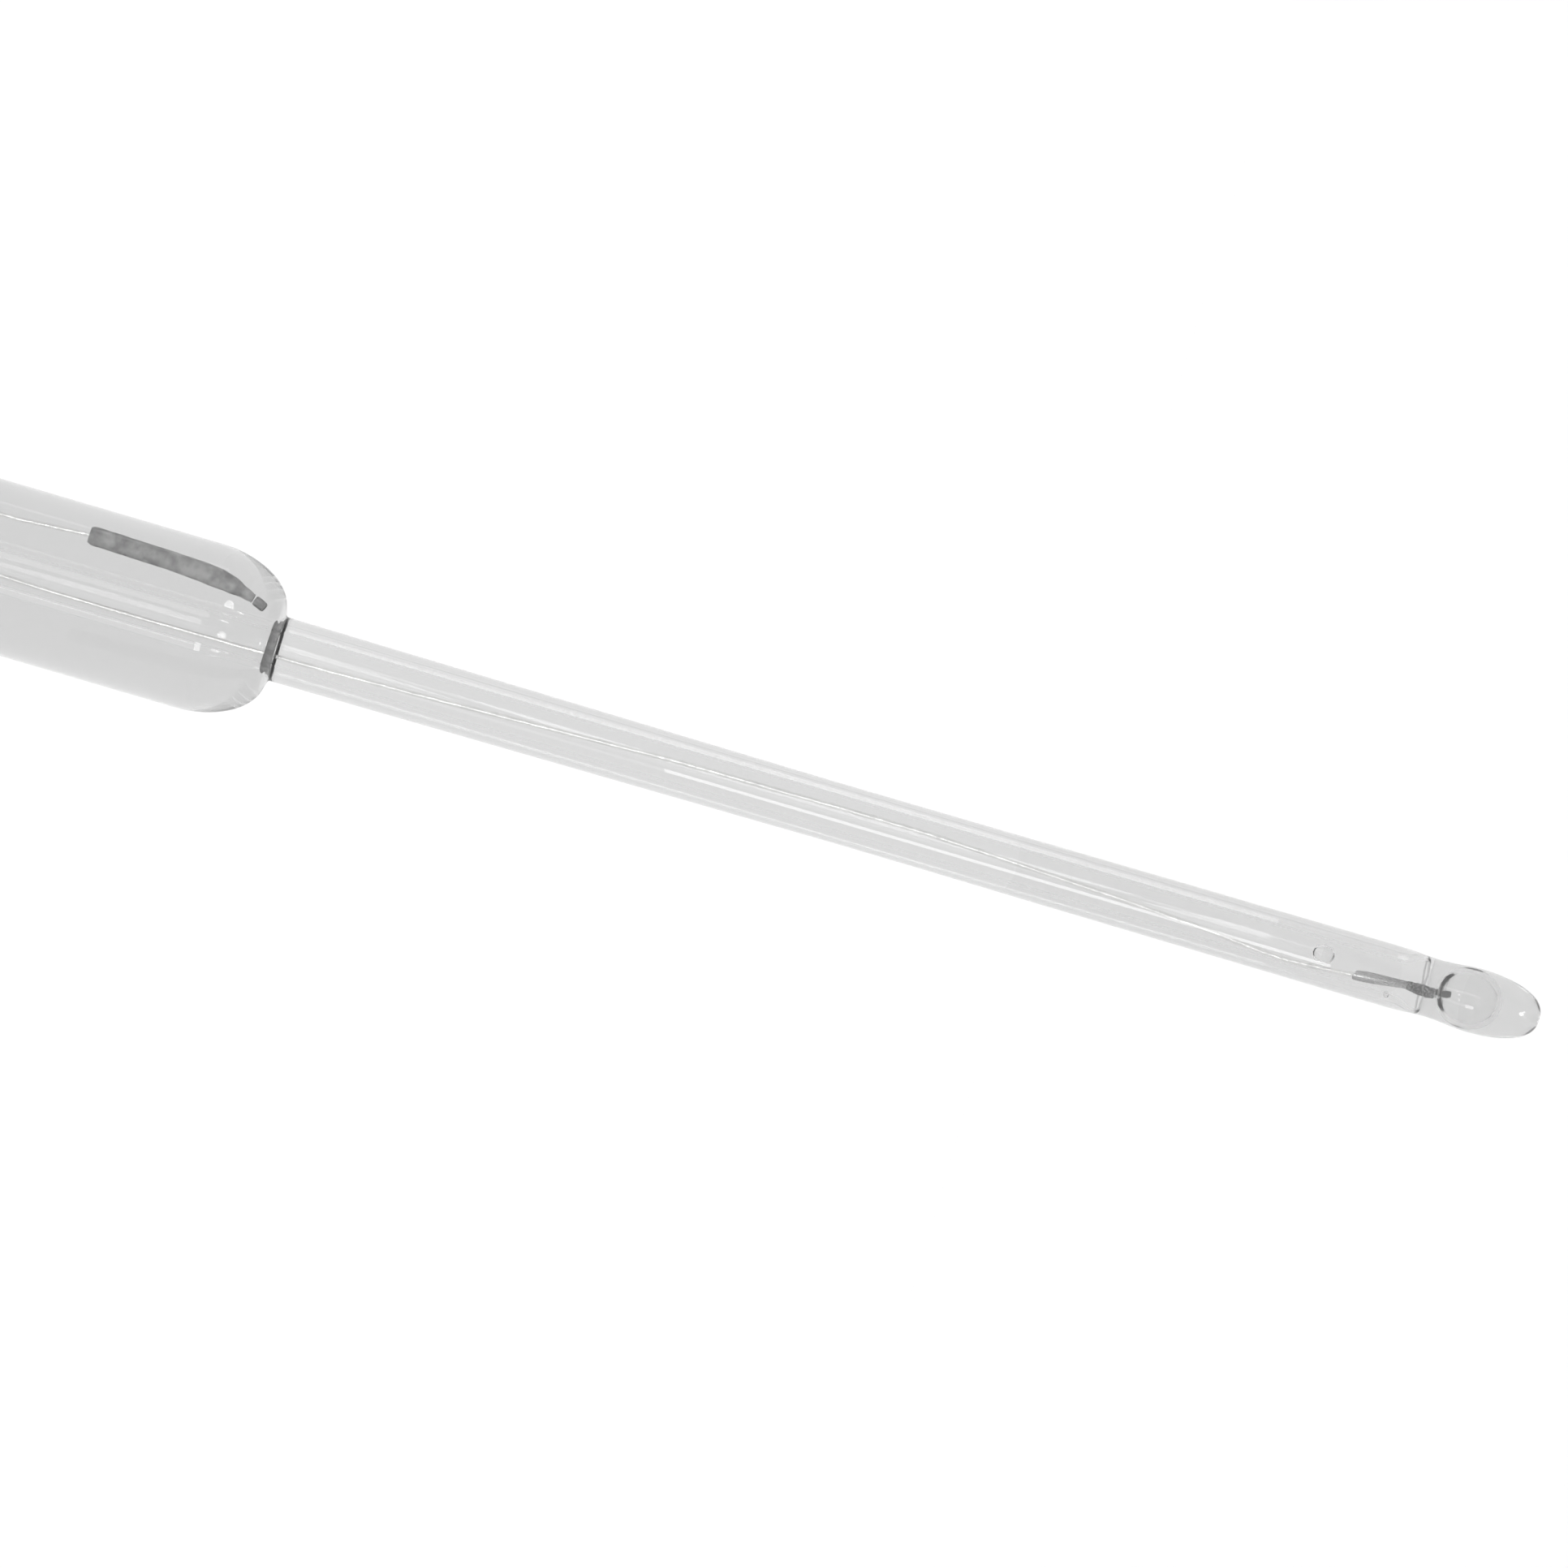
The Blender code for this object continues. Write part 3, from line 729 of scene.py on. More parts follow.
def reference_route():
    across = (
        (107.0, 3.0, 0.0), (110.5, 2.82, 0.0), (113.5, 2.7, 0.05), (122.0, 2.8, -0.08),
        (136.0, 2.63, 0.06), (150.0, 2.6, 0.0), (164.0, 2.6, 0.0),
    )
    route = [(x * MM, y * MM, z * MM) for z, x, y in across]
    route.append((2.45 * MM, 0.0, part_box("reference_wire")[1][2]))
    return route


def measuring_route():
    across = (
        (12.2, -0.42), (15.5, -0.62), (18.9, -0.72), (24.1, -0.42), (29.8, -0.16), (41.2, 0.2),
        (46.9, 0.31), (58.0, 0.26), (63.9, 0.21), (74.2, -0.05), (84.0, -0.29), (92.4, -0.42),
        (110.0, -0.45), (130.0, 0.1), (148.0, 0.0), (160.0, 0.0), (167.0, 0.0),
    )
    route = [(x * MM, 0.0, z * MM) for z, x in across]
    route.append((0.0, 0.0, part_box("measuring_wire")[1][2]))
    return route


def squarish(angle):
    """Section of a drawn wire, a little flattened on four sides."""
    return 0.97 / (abs(math.cos(angle)) ** 2.4 + abs(math.sin(angle)) ** 2.4) ** (1.0 / 2.4)


class ELECTRODE_OT_wires(Operator):
    """Both silver wires, slightly flattened and twisted from being pulled straight"""

    bl_idname = "electrode.wires"
    bl_label = "Silver Wires"

    def execute(self, context):
        radius = context.scene.electrode_element.wire_radius

        def kinks(place):
            return 0.03 * MM * noise.noise(place * 2600.0)

        for name, route in (
            ("measuring_wire", measuring_route()),
            ("reference_wire", reference_route()),
        ):
            fine = smooth_route(route, 40)
            shell = Shell()
            shell.sweep(fine, [radius] * len(fine), 14, section=squarish, twist=230.0, bumps=kinks)
            piece = shell.piece(name + "_silver", [silver_finish()])
            finish_piece(piece, ELECTRODE, [name])
        return {"FINISHED"}


class ELECTRODE_OT_reference_cartridge(Operator):
    """The dark reference cartridge and the porous plug in its narrowed end"""

    bl_idname = "electrode.reference_cartridge"
    bl_label = "Reference Cartridge"

    def execute(self, context):
        settings = context.scene.electrode_element
        route = [
            (x * MM, 0.0, z * MM)
            for x, z in (
                (3.02, 107.15), (2.95, 104.0), (2.88, 100.8), (2.75, 98.2), (2.58, 96.9),
                (2.36, 96.0), (2.2, 95.45),
            )
        ]
        widths = (1.0, 1.0, 1.0, 1.06, 0.92, 0.6, 0.47)
        per_span = 14
        fine = smooth_route(route, per_span)
        radii = []
        for at in range(len(fine)):
            low = min(at // per_span, len(widths) - 2)
            share = at / per_span - low
            radii.append(0.53 * MM * blend(widths[low], widths[low + 1], share))
        radii[0] *= 0.8
        radii[1] *= 0.97

        def bumps(place):
            return 0.02 * MM * noise.noise(place * 1300.0)

        dark = plain_finish(
            "cartridge_grey", tuple(settings.cartridge_colour), 0.55, grain=4500.0, mottle=0.3,
            depth=0.02 * MM,
        )
        shell = Shell()
        shell.sweep(fine, radii, 40, bumps=bumps)
        piece = shell.piece("reference_cartridge_rod", [dark])
        finish_piece(piece, ELECTRODE, ["reference_cartridge"])
        grey = plain_finish("plug_grey", (0.42, 0.42, 0.42), 0.8, grain=3000.0, mottle=0.2, depth=0.03 * MM)
        ends = [Vector((2.16 * MM, 0.0, 95.35 * MM)), Vector((1.9 * MM, 0.0, 94.7 * MM))]
        shares = spaced(0.0, 1.0, 9)
        shell = Shell()
        shell.sweep(
            [ends[0].lerp(ends[1], share) for share in shares],
            [0.28 * MM * (0.8 + 0.2 * min(1.0, 8.0 * share, 8.0 * (1.0 - share))) for share in shares],
            28,
            bumps=bumps,
        )
        piece = shell.piece("cartridge_plug_porous", [grey])
        finish_piece(piece, ELECTRODE, ["cartridge_plug"])
        return {"FINISHED"}


class ELECTRODE_OT_measuring_element(Operator):
    """The tapered sleeve, the silver chloride pellet and the tip at the end of the wire"""

    bl_idname = "electrode.measuring_element"
    bl_label = "Measuring Element"

    def execute(self, context):
        settings = context.scene.electrode_element
        self.sleeve()
        dark = self.pellet_finish(tuple(settings.pellet_colour))
        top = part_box("silver_chloride_pellet")[1][2]
        route = [(-0.23 * MM, 0.0, top + 0.1 * MM), (-0.26 * MM, 0.0, 8.5 * MM), (-0.26 * MM, 0.0, 7.55 * MM)]
        self.rod("silver_chloride_pellet", "_lump", route, (0.25, 0.3, 0.28), dark, 0.04)
        route = [(-0.22 * MM, 0.0, 7.56 * MM), (-0.14 * MM, 0.0, 7.0 * MM), (-0.08 * MM, 0.0, 6.6 * MM)]
        smooth = plain_finish("tip_grey", scaled(settings.pellet_colour, 0.8), 0.3, grain=2600.0,
                              mottle=0.2, depth=0.01 * MM)
        self.rod("contact_tip", "_end", route, (0.25, 0.26, 0.2), smooth, 0.015)
        return {"FINISHED"}

    def pellet_finish(self, colour):
        """Dark fused salt with fine pale specks."""
        material, tree, shader = new_material("pellet_grey")
        specks = pattern(tree, 9500.0, 5.0, roughness=0.7)
        colours = shades(tree, specks, colour, scaled(colour, 3.4), 0.47, 0.62)
        tree.links.new(colours, shader.inputs["Base Color"])
        tree.links.new(relief(tree, pattern(tree, 9000.0), 0.04 * MM), shader.inputs["Normal"])
        shader.inputs["Roughness"].default_value = 0.4
        return material

    def rod(self, node, ending, route, radii, material, rough):
        per_span = 16
        fine = smooth_route(route, per_span)
        rows = []
        for at in range(len(fine)):
            low = min(at // per_span, 1)
            reach = blend(radii[low], radii[low + 1], at / per_span - low)
            edge = min(1.0, 0.85 + at * 0.08, 0.85 + (len(fine) - 1 - at) * 0.08)
            rows.append(reach * edge * MM)

        def bumps(place):
            return rough * MM * noise.noise(place * 5200.0)

        shell = Shell()
        shell.sweep(fine, rows, 36, bumps=bumps)
        piece = shell.piece(node + ending, [material])
        finish_piece(piece, ELECTRODE, [node])

    def sleeve(self):
        """A drawn tube with a slanting mouth and a long taper."""
        low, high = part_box("contact_sleeve")
        top = high[2]
        length = high[2] - low[2]
        lean = math.tan(math.radians(3.9))
        bright = plain_finish("sleeve_metal", (0.5, 0.5, 0.5), 0.26, 1.0, grain=5000.0, mottle=0.2,
                              depth=0.006 * MM, stretch=(1.0, 1.0, 0.1))
        outer = [(0.24, 0.0), (0.285, 0.25), (0.3, 0.8), (0.29, 1.5), (0.25, 2.6), (0.21, 3.7)]
        outside = [(r * MM, -down * MM) for r, down in outer]
        outside.append((0.2 * MM, 0.02 * MM - length))
        outside.append((0.0, -length))
        inside = [(0.0, -1.5 * MM), (0.16 * MM, -1.4 * MM), (0.2 * MM, 0.0)]

        def placed(place):
            x, y, z = place
            slant = x * 0.35 * max(0.0, 1.0 + z / (0.6 * MM))
            return (x - 0.48 * MM - z * lean, y, top + z - abs(slant) * 0.3 - slant)

        shell = Shell()
        shell.turn(inside + outside, one_slot, False, 48, placed)
        piece = shell.piece("contact_sleeve_drawn", [bright])
        finish_piece(piece, ELECTRODE, ["contact_sleeve"])


class ELECTRODE_OT_neck_and_junction(Operator):
    """The dark ring in the neck and the ceramic junction in the stem's wall"""

    bl_idname = "electrode.neck_and_junction"
    bl_label = "Neck Ring and Junction"

    def execute(self, context):
        low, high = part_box("neck_ring")
        bore = node_outline("neck_ring", False)
        inner = min(r for r, _ in bore)
        outer = high[0]
        middle = (outer + inner) / 2.0
        half_width = (outer - inner) / 2.0
        half_height = (high[2] - low[2]) / 2.0
        centre = (high[2] + low[2]) / 2.0
        profile = []
        for angle in spaced(0.0, -FULL_TURN, 33)[:-1]:
            wide = math.copysign(abs(math.cos(angle)) ** 0.7, math.cos(angle))
            tall = math.copysign(abs(math.sin(angle)) ** 0.7, math.sin(angle))
            profile.append((middle + half_width * wide, centre + half_height * tall))
        rubber = plain_finish("ring_rubber", (0.34, 0.34, 0.34), 0.6, grain=6000.0, mottle=0.35)

        def uneven(place):
            x, y, z = place
            angle = math.atan2(y, x)
            lobe = 1.05 + 0.5 * math.cos(angle) ** 2
            rise = RING_RISE + 0.03 * MM * math.sin(2.0 * angle + 0.5)
            return (x, y, centre + (z - centre) * lobe + rise)

        shell = Shell()
        shell.turn(profile, one_slot, True, 96, uneven)
        piece = shell.piece("neck_ring_rubber", [rubber])
        finish_piece(piece, ELECTRODE, ["neck_ring"])
        coat("ceramic_junction", clear("junction_ceramic", 1.15, (0.9, 0.9, 0.9), 0.01 * MM))
        return {"FINISHED"}


# Closures, head and connector


class ELECTRODE_OT_closures(Operator):
    """The stopper of the inner tube, the resin that closes the shaft, and the solder beads"""

    bl_idname = "electrode.closures"
    bl_label = "Closures"

    def execute(self, context):
        finishes = {
            "inner_tube_stopper": plain_finish("stopper_silicone", (0.7, 0.7, 0.68), 0.5),
            "shaft_potting": plain_finish("potting_resin", (0.72, 0.71, 0.68), 0.35, mottle=0.08),
            "measuring_solder": plain_finish("solder", (0.62, 0.62, 0.62), 0.3, 1.0, grain=1800.0),
        }
        finishes["reference_solder"] = finishes["measuring_solder"]
        for node, material in finishes.items():
            coat(node, material)
        return {"FINISHED"}


def full_outline(node):
    """The whole closed outline of a turned CAD node, outer side first."""
    return node_outline(node, True) + list(reversed(node_outline(node, False)))


class ELECTRODE_OT_head(Operator):
    """The moulded plastic head with its collar and ribbed grip"""

    bl_idname = "electrode.head"
    bl_label = "Plug Head"

    def execute(self, context):
        settings = context.scene.electrode_head
        plastic = plain_finish("head_plastic", tuple(settings.plastic_colour), 0.42, grain=1200.0,
                               mottle=0.1, depth=0.015 * MM)
        body = turned("head_body_moulded", rounded(full_outline("head_body"), 0.3 * MM), plastic,
                      segments=160, angle=30.0)
        finish_piece(body, ELECTRODE, ["head_body"])
        low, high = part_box("head_body")
        foot = low[2] + 7.6 * MM
        top = high[2] - 6.5 * MM
        ribs = ribs_round("head_grip_ribs", settings.rib_count, 7.9 * MM, foot, top, 0.36 * MM, plastic)
        finish_piece(ribs, ELECTRODE, [])
        return {"FINISHED"}


def add_node(tree, kind, **values):
    """A node with some of its inputs set by name."""
    node = tree.nodes.new(kind)
    for name, value in values.items():
        node.inputs[name.replace("_", " ").title()].default_value = value
    return node


def joiner(tree):
    """A function that links one node's output to another's input, both by name."""

    def join(source, output, target, name):
        tree.links.new(source.outputs[output], target.inputs[name])

    return join


def new_tree(name, inputs):
    """A geometry tree with named number inputs and one geometry output."""
    tree = bpy.data.node_groups.new(name, "GeometryNodeTree")
    for label, kind in inputs:
        tree.interface.new_socket(name=label, in_out="INPUT", socket_type=kind)
    tree.interface.new_socket(name="Geometry", in_out="OUTPUT", socket_type="NodeSocketGeometry")
    return tree, tree.nodes.new("NodeGroupInput"), tree.nodes.new("NodeGroupOutput")


def coated(tree, shape, given, result):
    """Ends a tree: the shape made real, with the given finish on it."""
    join = joiner(tree)
    real = add_node(tree, "GeometryNodeRealizeInstances")
    finish = add_node(tree, "GeometryNodeSetMaterial")
    tree.links.new(shape, real.inputs["Geometry"])
    join(real, "Geometry", finish, "Geometry")
    join(given, "Finish", finish, "Material")
    join(finish, "Geometry", result, "Geometry")
    return tree


def grown(name, tree, values, angle=40.0):
    """Runs the tree with its inputs set and returns the result as a plain mesh piece."""
    host = bpy.data.objects.new(name + "_host", bpy.data.meshes.new(name + "_host"))
    bpy.context.scene.collection.objects.link(host)
    modifier = host.modifiers.new("grow", "NODES")
    modifier.node_group = tree
    for item in tree.interface.items_tree:
        if item.item_type == "SOCKET" and item.in_out == "INPUT":
            modifier[item.identifier] = values[item.name]
    evaluated = host.evaluated_get(bpy.context.evaluated_depsgraph_get())
    mesh = bpy.data.meshes.new_from_object(evaluated)
    bpy.data.objects.remove(host, do_unlink=True)
    mesh.name = name
    return link(name, mesh, [], angle)


def rib_tree():
    """Half-round ribs that stand in a circle and taper out at both ends."""
    if "grip_ribs" in bpy.data.node_groups:
        return bpy.data.node_groups["grip_ribs"]
    tree, given, result = new_tree(
        "grip_ribs",
        (
            ("Count", "NodeSocketInt"),
            ("Circle Radius", "NodeSocketFloat"),
            ("Foot", "NodeSocketFloat"),
            ("Top", "NodeSocketFloat"),
            ("Rib Radius", "NodeSocketFloat"),
            ("Finish", "NodeSocketMaterial"),
        ),
    )
    join = joiner(tree)
    circle = add_node(tree, "GeometryNodeMeshCircle")
    join(given, "Count", circle, "Vertices")
    join(given, "Circle Radius", circle, "Radius")
    start = add_node(tree, "ShaderNodeCombineXYZ")
    end = add_node(tree, "ShaderNodeCombineXYZ")
    join(given, "Foot", start, "Z")
    join(given, "Top", end, "Z")
    line = add_node(tree, "GeometryNodeCurvePrimitiveLine")
    join(start, "Vector", line, "Start")
    join(end, "Vector", line, "End")
    finer = add_node(tree, "GeometryNodeResampleCurve", count=24)
    join(line, "Curve", finer, "Curve")
    along = add_node(tree, "GeometryNodeSplineParameter")
    taper = add_node(tree, "ShaderNodeFloatCurve")
    points = taper.mapping.curves[0].points
    points[0].location = (0.0, 0.25)
    points[1].location = (1.0, 0.25)
    points.new(0.06, 1.0)
    points.new(0.94, 1.0)
    taper.mapping.update()
    join(along, "Factor", taper, "Value")
    sized = add_node(tree, "GeometryNodeSetCurveRadius")
    join(finer, "Curve", sized, "Curve")
    join(taper, "Value", sized, "Radius")
    section = add_node(tree, "GeometryNodeCurvePrimitiveCircle", resolution=12)
    join(given, "Rib Radius", section, "Radius")
    rod = add_node(tree, "GeometryNodeCurveToMesh", fill_caps=True)
    join(sized, "Curve", rod, "Curve")
    join(section, "Curve", rod, "Profile Curve")
    if "Scale" in rod.inputs:
        join(taper, "Value", rod, "Scale")
    copies = add_node(tree, "GeometryNodeInstanceOnPoints")
    join(circle, "Mesh", copies, "Points")
    join(rod, "Mesh", copies, "Instance")
    return coated(tree, copies.outputs["Instances"], given, result)


def ribs_round(name, count, radius, foot, top, rib_radius, material):
    values = {
        "Count": count,
        "Circle Radius": radius,
        "Foot": foot,
        "Top": top,
        "Rib Radius": rib_radius,
        "Finish": material,
    }
    return grown(name, rib_tree(), values)


def thread_tree():
    """A rounded ridge that winds up a cylinder."""
    tree, given, result = new_tree(
        "screw_thread",
        (
            ("Turns", "NodeSocketFloat"),
            ("Radius", "NodeSocketFloat"),
            ("Foot", "NodeSocketFloat"),
            ("Height", "NodeSocketFloat"),
            ("Ridge Radius", "NodeSocketFloat"),
            ("Finish", "NodeSocketMaterial"),
        ),
    )
    join = joiner(tree)
    spiral = add_node(tree, "GeometryNodeCurveSpiral", resolution=48)
    join(given, "Turns", spiral, "Rotations")
    join(given, "Radius", spiral, "Start Radius")
    join(given, "Radius", spiral, "End Radius")
    join(given, "Height", spiral, "Height")
    raised = add_node(tree, "ShaderNodeCombineXYZ")
    join(given, "Foot", raised, "Z")
    placed = add_node(tree, "GeometryNodeTransform")
    join(spiral, "Curve", placed, "Geometry")
    join(raised, "Vector", placed, "Translation")
    section = add_node(tree, "GeometryNodeCurvePrimitiveCircle", resolution=8)
    join(given, "Ridge Radius", section, "Radius")
    ridge = add_node(tree, "GeometryNodeCurveToMesh", fill_caps=True)
    join(placed, "Geometry", ridge, "Curve")
    join(section, "Curve", ridge, "Profile Curve")
    return coated(tree, ridge.outputs["Mesh"], given, result)


class ELECTRODE_OT_connector(Operator):
    """The threaded bush, its thread and O-ring, the insulators and the two contacts"""

    bl_idname = "electrode.connector"
    bl_label = "Connector"

    def execute(self, context):
        settings = context.scene.electrode_head
        nickel = plain_finish("bush_nickel", (0.66, 0.65, 0.62), 0.24, 1.0, grain=1500.0, mottle=0.06,
                              depth=0.004 * MM, stretch=(0.1, 0.1, 3.0))
        gold = plain_finish("contact_gold", (0.86, 0.66, 0.32), 0.2, 1.0, grain=1500.0, mottle=0.05,
                            depth=0.004 * MM)
        white = plain_finish("insulator_white", (0.82, 0.82, 0.8), 0.42, grain=800.0, mottle=0.04,
                             depth=0.006 * MM)
        black = plain_finish("seal_rubber", (0.025, 0.025, 0.025), 0.5, grain=1200.0, mottle=0.2,
                             depth=0.01 * MM)
        made = (
            ("connector_bush", "_turned", 0.12, nickel, "bush_nickel"),
            ("outer_insulator", "_white", 0.1, white, "insulator_white"),
            ("inner_insulator", "_white", 0.1, white, "insulator_white"),
            ("ring_contact", "_gold", 0.08, gold, "contact_gold"),
        )
        for node, ending, corner, material, slot in made:
            profile = full_outline(node)
            if node == "connector_bush":
                profile = [(r - 0.28 * MM if self.on_thread(r, z) else r, z) for r, z in profile]
            piece = turned(node + ending, rounded(profile, corner * MM), material, angle=30.0)
            finish_piece(piece, ELECTRODE, [node])
        self.pin(gold)
        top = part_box("connector_bush")[1][2]
        thread = {
            "Turns": THREAD_TURNS,
            "Radius": 4.9 * MM - RIDGE,
            "Foot": top - 10.0 * MM,
            "Height": THREAD_TURNS * settings.thread_pitch,
            "Ridge Radius": RIDGE,
            "Finish": nickel,
        }
        ridge = grown("connector_thread", thread_tree(), thread, 60.0)
        finish_piece(ridge, ELECTRODE, [])
        o_ring("connector_o_ring", black, ELECTRODE)
        return {"FINISHED"}

    def on_thread(self, radius, z):
        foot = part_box("connector_o_ring")[0][2] + 0.01 * MM
        return 4.8 * MM < radius < 5.0 * MM and z > foot

    def pin(self, material):
        """The centre contact: a pin with a round nose on a thinner shank."""
        profile = node_outline("centre_contact", True)
        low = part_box("centre_contact")[0][2]
        profile = [point for point in profile if point[1] > low + 1e-6 or point[0] > 1e-6]
        profile = [(0.0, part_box("centre_contact")[1][2])] + [p for p in profile if p[0] > 1e-6]
        profile.append((0.0, low))
        piece = turned("centre_contact_gold", profile, material, closed=False, segments=64)
        finish_piece(piece, ELECTRODE, ["centre_contact"])


def o_ring(node, material, body):
    """A round rubber ring in the place of its CAD node."""
    low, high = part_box(node)
    section = (high[2] - low[2]) / 2.0
    middle = high[0] - section
    centre = (high[2] + low[2]) / 2.0
    profile = [
        (middle + section * math.cos(angle), centre + section * math.sin(angle))
        for angle in spaced(0.0, -FULL_TURN, 25)[:-1]
    ]
    piece = turned(node + "_rubber", profile, material)
    return finish_piece(piece, body, [node])


class ELECTRODE_OT_refill_sleeve(Operator):
    """The ribbed sleeve that slides off the refill hole, with its two O-rings"""

    bl_idname = "electrode.refill_sleeve"
    bl_label = "Refill Sleeve"

    def execute(self, context):
        settings = context.scene.electrode_head
        plastic = plain_finish("slider_plastic", tuple(settings.slider_colour), 0.48, grain=1200.0,
                               mottle=0.1, depth=0.015 * MM)
        black = plain_finish("sleeve_seal_rubber", (0.025, 0.025, 0.025), 0.5, grain=1200.0, mottle=0.2)
        body = turned("refill_sleeve_moulded", rounded(full_outline("refill_sleeve"), 0.15 * MM),
                      plastic, segments=128, angle=30.0)
        finish_piece(body, SLEEVE, ["refill_sleeve"])
        low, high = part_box("refill_sleeve")
        ribs = ribs_round("refill_sleeve_ribs", 40, 7.72 * MM, low[2] + 1.4 * MM, high[2] - 1.4 * MM,
                          0.3 * MM, plastic)
        finish_piece(ribs, SLEEVE, [])
        for node in ("upper_sleeve_ring", "lower_sleeve_ring"):
            o_ring(node, black, SLEEVE)
        return {"FINISHED"}


# Stage


class ELECTRODE_OT_stage(Operator):
    """A pale floor, a white surround, soft lights and the camera"""

    bl_idname = "electrode.stage"
    bl_label = "Stage"

    def execute(self, context):
        settings = context.scene.electrode_stage
        self.floor()
        self.surround(context.scene, settings.surround)
        self.lights()
        self.camera(context.scene, settings)
        context.scene.view_settings.view_transform = "Standard"
        context.scene.cycles.max_bounces = 96
        context.scene.cycles.transmission_bounces = 96
        context.scene.cycles.glossy_bounces = 8
        context.scene.cycles.caustics_reflective = True
        context.scene.cycles.caustics_refractive = True
        return {"FINISHED"}

    def floor(self):
        mesh = bpy.data.meshes.new("floor")
        sheet = bmesh.new()
        bmesh.ops.create_circle(sheet, cap_ends=True, segments=96, radius=3.0)
        sheet.to_mesh(mesh)
        sheet.free()
        for vertex in mesh.vertices:
            vertex.co.z = -25.0 * MM
        paper = plain_finish("studio_paper", (0.97, 0.97, 0.97), 0.9, grain=20.0, mottle=0.01,
                             depth=0.02 * MM, specular=0.1)
        mesh.materials.append(paper)
        floor = bpy.data.objects.new("floor", mesh)
        bpy.context.scene.collection.objects.link(floor)

    def surround(self, scene, brightness):
        world = bpy.data.worlds.new("studio")
        scene.world = world
        world.use_nodes = True
        light = world.node_tree.nodes["Background"]
        light.inputs["Color"].default_value = (1.0, 1.0, 1.0, 1.0)
        light.inputs["Strength"].default_value = brightness

    def lights(self):
        """Soft boxes in a ring round the axis.

        Each has a bearing from the camera towards +X, a width, a lowest and highest level, a
        brightness, and whether it shows on outer surfaces and through the glass.
        """
        for name, bearing, width, low, high, brightness, on_surface, through in (
            ("band_light", -28.0, 0.17, -0.022, 0.062, 5.0, True, False),
            ("band_fill", -28.0, 0.15, 0.062, 0.2, 0.9, True, False),
            ("upper_band", 17.0, 0.11, -0.02, 0.19, 1.3, True, False),
            ("edge_line", 94.0, 0.06, -0.02, 0.2, 0.8, True, False),
            ("wire_light", -9.0, 0.22, -0.02, 0.2, 4.2, False, True),
            ("spot_light_low", 4.0, 0.14, 0.42, 0.56, 20.0, True, True),
            ("spot_light_high", 12.0, 0.14, 0.62, 0.76, 20.0, True, True),
            ("spot_light_wide", -17.0, 0.2, 0.36, 0.54, 9.0, True, True),
        ):
            angle = math.radians(bearing)
            place = Vector((math.sin(angle), -math.cos(angle), 0.0)) * LAMP_RING
            place.z = (low + high) / 2.0
            high_up = place.z > HIGH_LAMP
            target = Vector((0.0, 0.0, 0.05 if high_up else place.z))
            shape = "ELLIPSE" if high_up else "RECTANGLE"
            lamp = self.lamp(name, shape, place, target, (width, high - low), brightness, on_surface, through)
            if through and not high_up:
                self.keep_off_bulb(lamp)
        place = Vector((0.4 * MM, -22.0 * MM, -20.0 * MM))
        target = Vector((0.0, 0.0, 2.0 * MM))
        self.lamp("tip_light", "ELLIPSE", place, target, (7.0 * MM, 5.0 * MM), 7.0, True, False)

    def lamp(self, name, shape, place, target, size, brightness, on_surface, through):
        data = bpy.data.lights.new(name, "AREA")
        data.shape = shape
        data.size, data.size_y = size
        data.energy = brightness * math.pi * size[0] * size[1]
        lamp = bpy.data.objects.new(name, data)
        lamp.location = place
        lamp.rotation_euler = (target - place).to_track_quat("-Z", "Y").to_euler()
        lamp.visible_camera = False
        lamp.visible_diffuse = False
        lamp.visible_glossy = on_surface
        lamp.visible_transmission = through
        bpy.context.scene.collection.objects.link(lamp)
        return lamp

    def keep_off_bulb(self, lamp):
        """This lamp would show through the small bulb as white patches at its edge."""
        bulb = bpy.data.objects["membrane_bulb_glass"]
        shaded = bpy.data.collections.new(lamp.name + "_shade")
        shaded.objects.link(bulb)
        shaded.collection_objects[0].light_linking.link_state = "EXCLUDE"
        lamp.light_linking.receiver_collection = shaded

    def camera(self, scene, settings):
        """The camera looks along +Y, rolled so that the stem falls to the right by the tilt."""
        right = Vector((math.sin(settings.tilt), 0.0, -math.cos(settings.tilt)))
        up = Vector((math.cos(settings.tilt), 0.0, math.sin(settings.tilt)))
        neck = Vector((0.0, 0.0, 92.42 * MM))
        centre = neck + right * (35.66 * MM) - up * (9.53 * MM)
        data = bpy.data.cameras.new("camera")
        data.sensor_width = 36.0
        data.lens = 36.0 * settings.camera_distance / settings.view_width
        data.clip_start = 0.01
        data.clip_end = 20.0
        camera = bpy.data.objects.new("camera", data)
        place = centre + Vector((0.0, -settings.camera_distance, 0.0))
        back = Vector((0.0, -1.0, 0.0))
        rows = [(right[i], up[i], back[i], place[i]) for i in range(3)]
        camera.matrix_world = Matrix(rows + [(0.0, 0.0, 0.0, 1.0)])
        scene.collection.objects.link(camera)
        scene.camera = camera


class ELECTRODE_PT_panel(Panel):
    """The electrode's pieces, in the order in which they are made"""

    bl_label = "pH Electrode"
    bl_idname = "ELECTRODE_PT_panel"
    bl_space_type = "VIEW_3D"
    bl_region_type = "UI"
    bl_category = "Electrode"

    def draw(self, context):
        for operator in OPERATORS:
            self.layout.operator(operator.bl_idname)


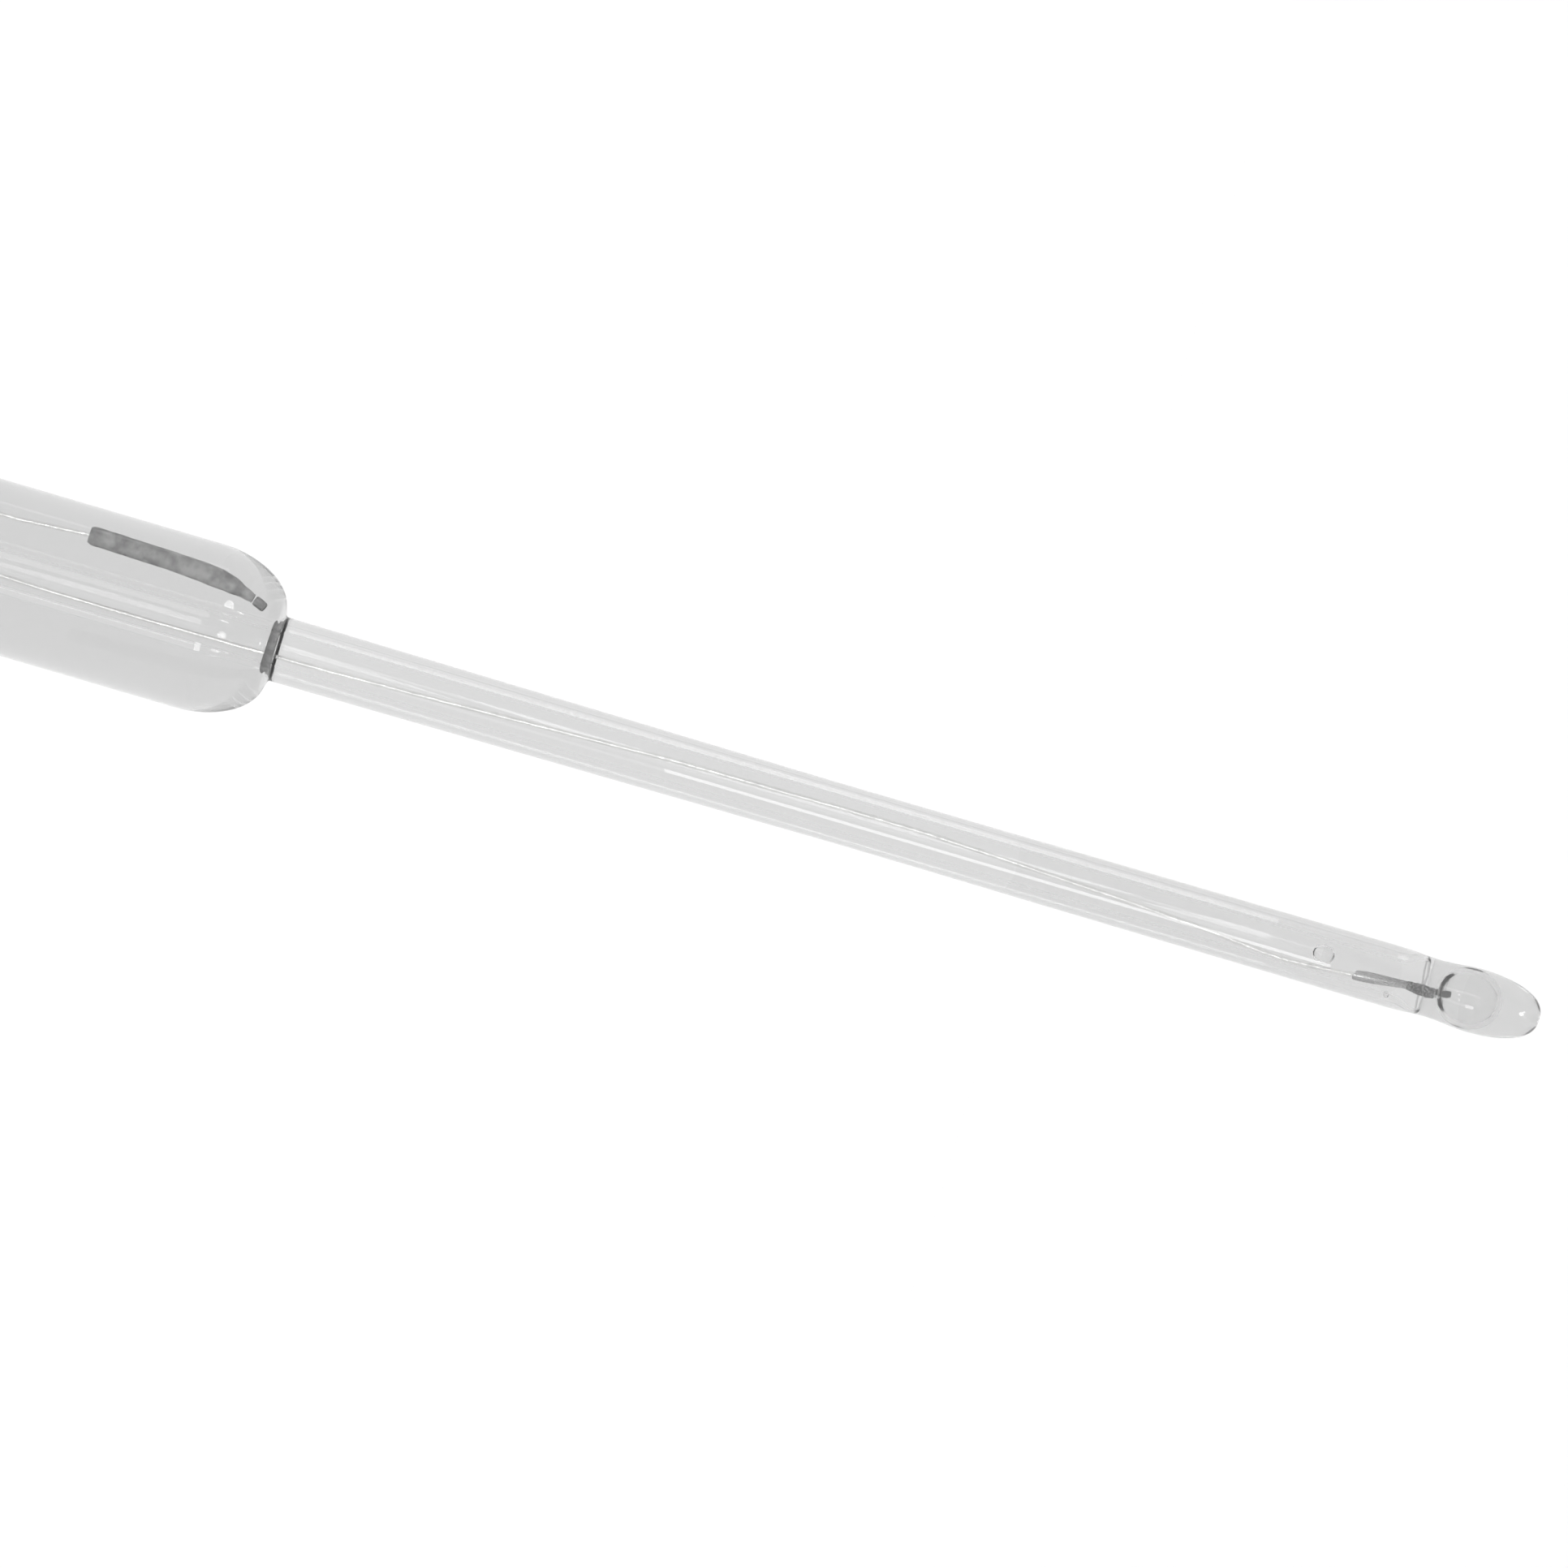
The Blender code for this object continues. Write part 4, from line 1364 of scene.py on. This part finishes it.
SETTINGS = {
    "electrode_glass": GlassSettings,
    "electrode_bubbles": BubbleSettings,
    "electrode_element": ElementSettings,
    "electrode_head": HeadSettings,
    "electrode_stage": StageSettings,
}
OPERATORS = (
    ELECTRODE_OT_outer_shaft,
    ELECTRODE_OT_inner_tube,
    ELECTRODE_OT_membrane_bulb,
    ELECTRODE_OT_inner_buffer,
    ELECTRODE_OT_reference_electrolyte,
    ELECTRODE_OT_wires,
    ELECTRODE_OT_reference_cartridge,
    ELECTRODE_OT_measuring_element,
    ELECTRODE_OT_neck_and_junction,
    ELECTRODE_OT_closures,
    ELECTRODE_OT_head,
    ELECTRODE_OT_connector,
    ELECTRODE_OT_refill_sleeve,
    ELECTRODE_OT_stage,
)


def register():
    for group in SETTINGS.values():
        bpy.utils.register_class(group)
    for name, group in SETTINGS.items():
        setattr(bpy.types.Scene, name, PointerProperty(type=group))
    for operator in OPERATORS:
        bpy.utils.register_class(operator)
    bpy.utils.register_class(ELECTRODE_PT_panel)


def unregister():
    for panel_or_operator in (ELECTRODE_PT_panel, *reversed(OPERATORS)):
        bpy.utils.unregister_class(panel_or_operator)
    for name, group in SETTINGS.items():
        delattr(bpy.types.Scene, name)
        bpy.utils.unregister_class(group)


def main():
    register()
    for operator in OPERATORS:
        name = operator.bl_idname.split(".")[1]
        getattr(bpy.ops.electrode, name)()


if __name__ == "__main__":
    main()
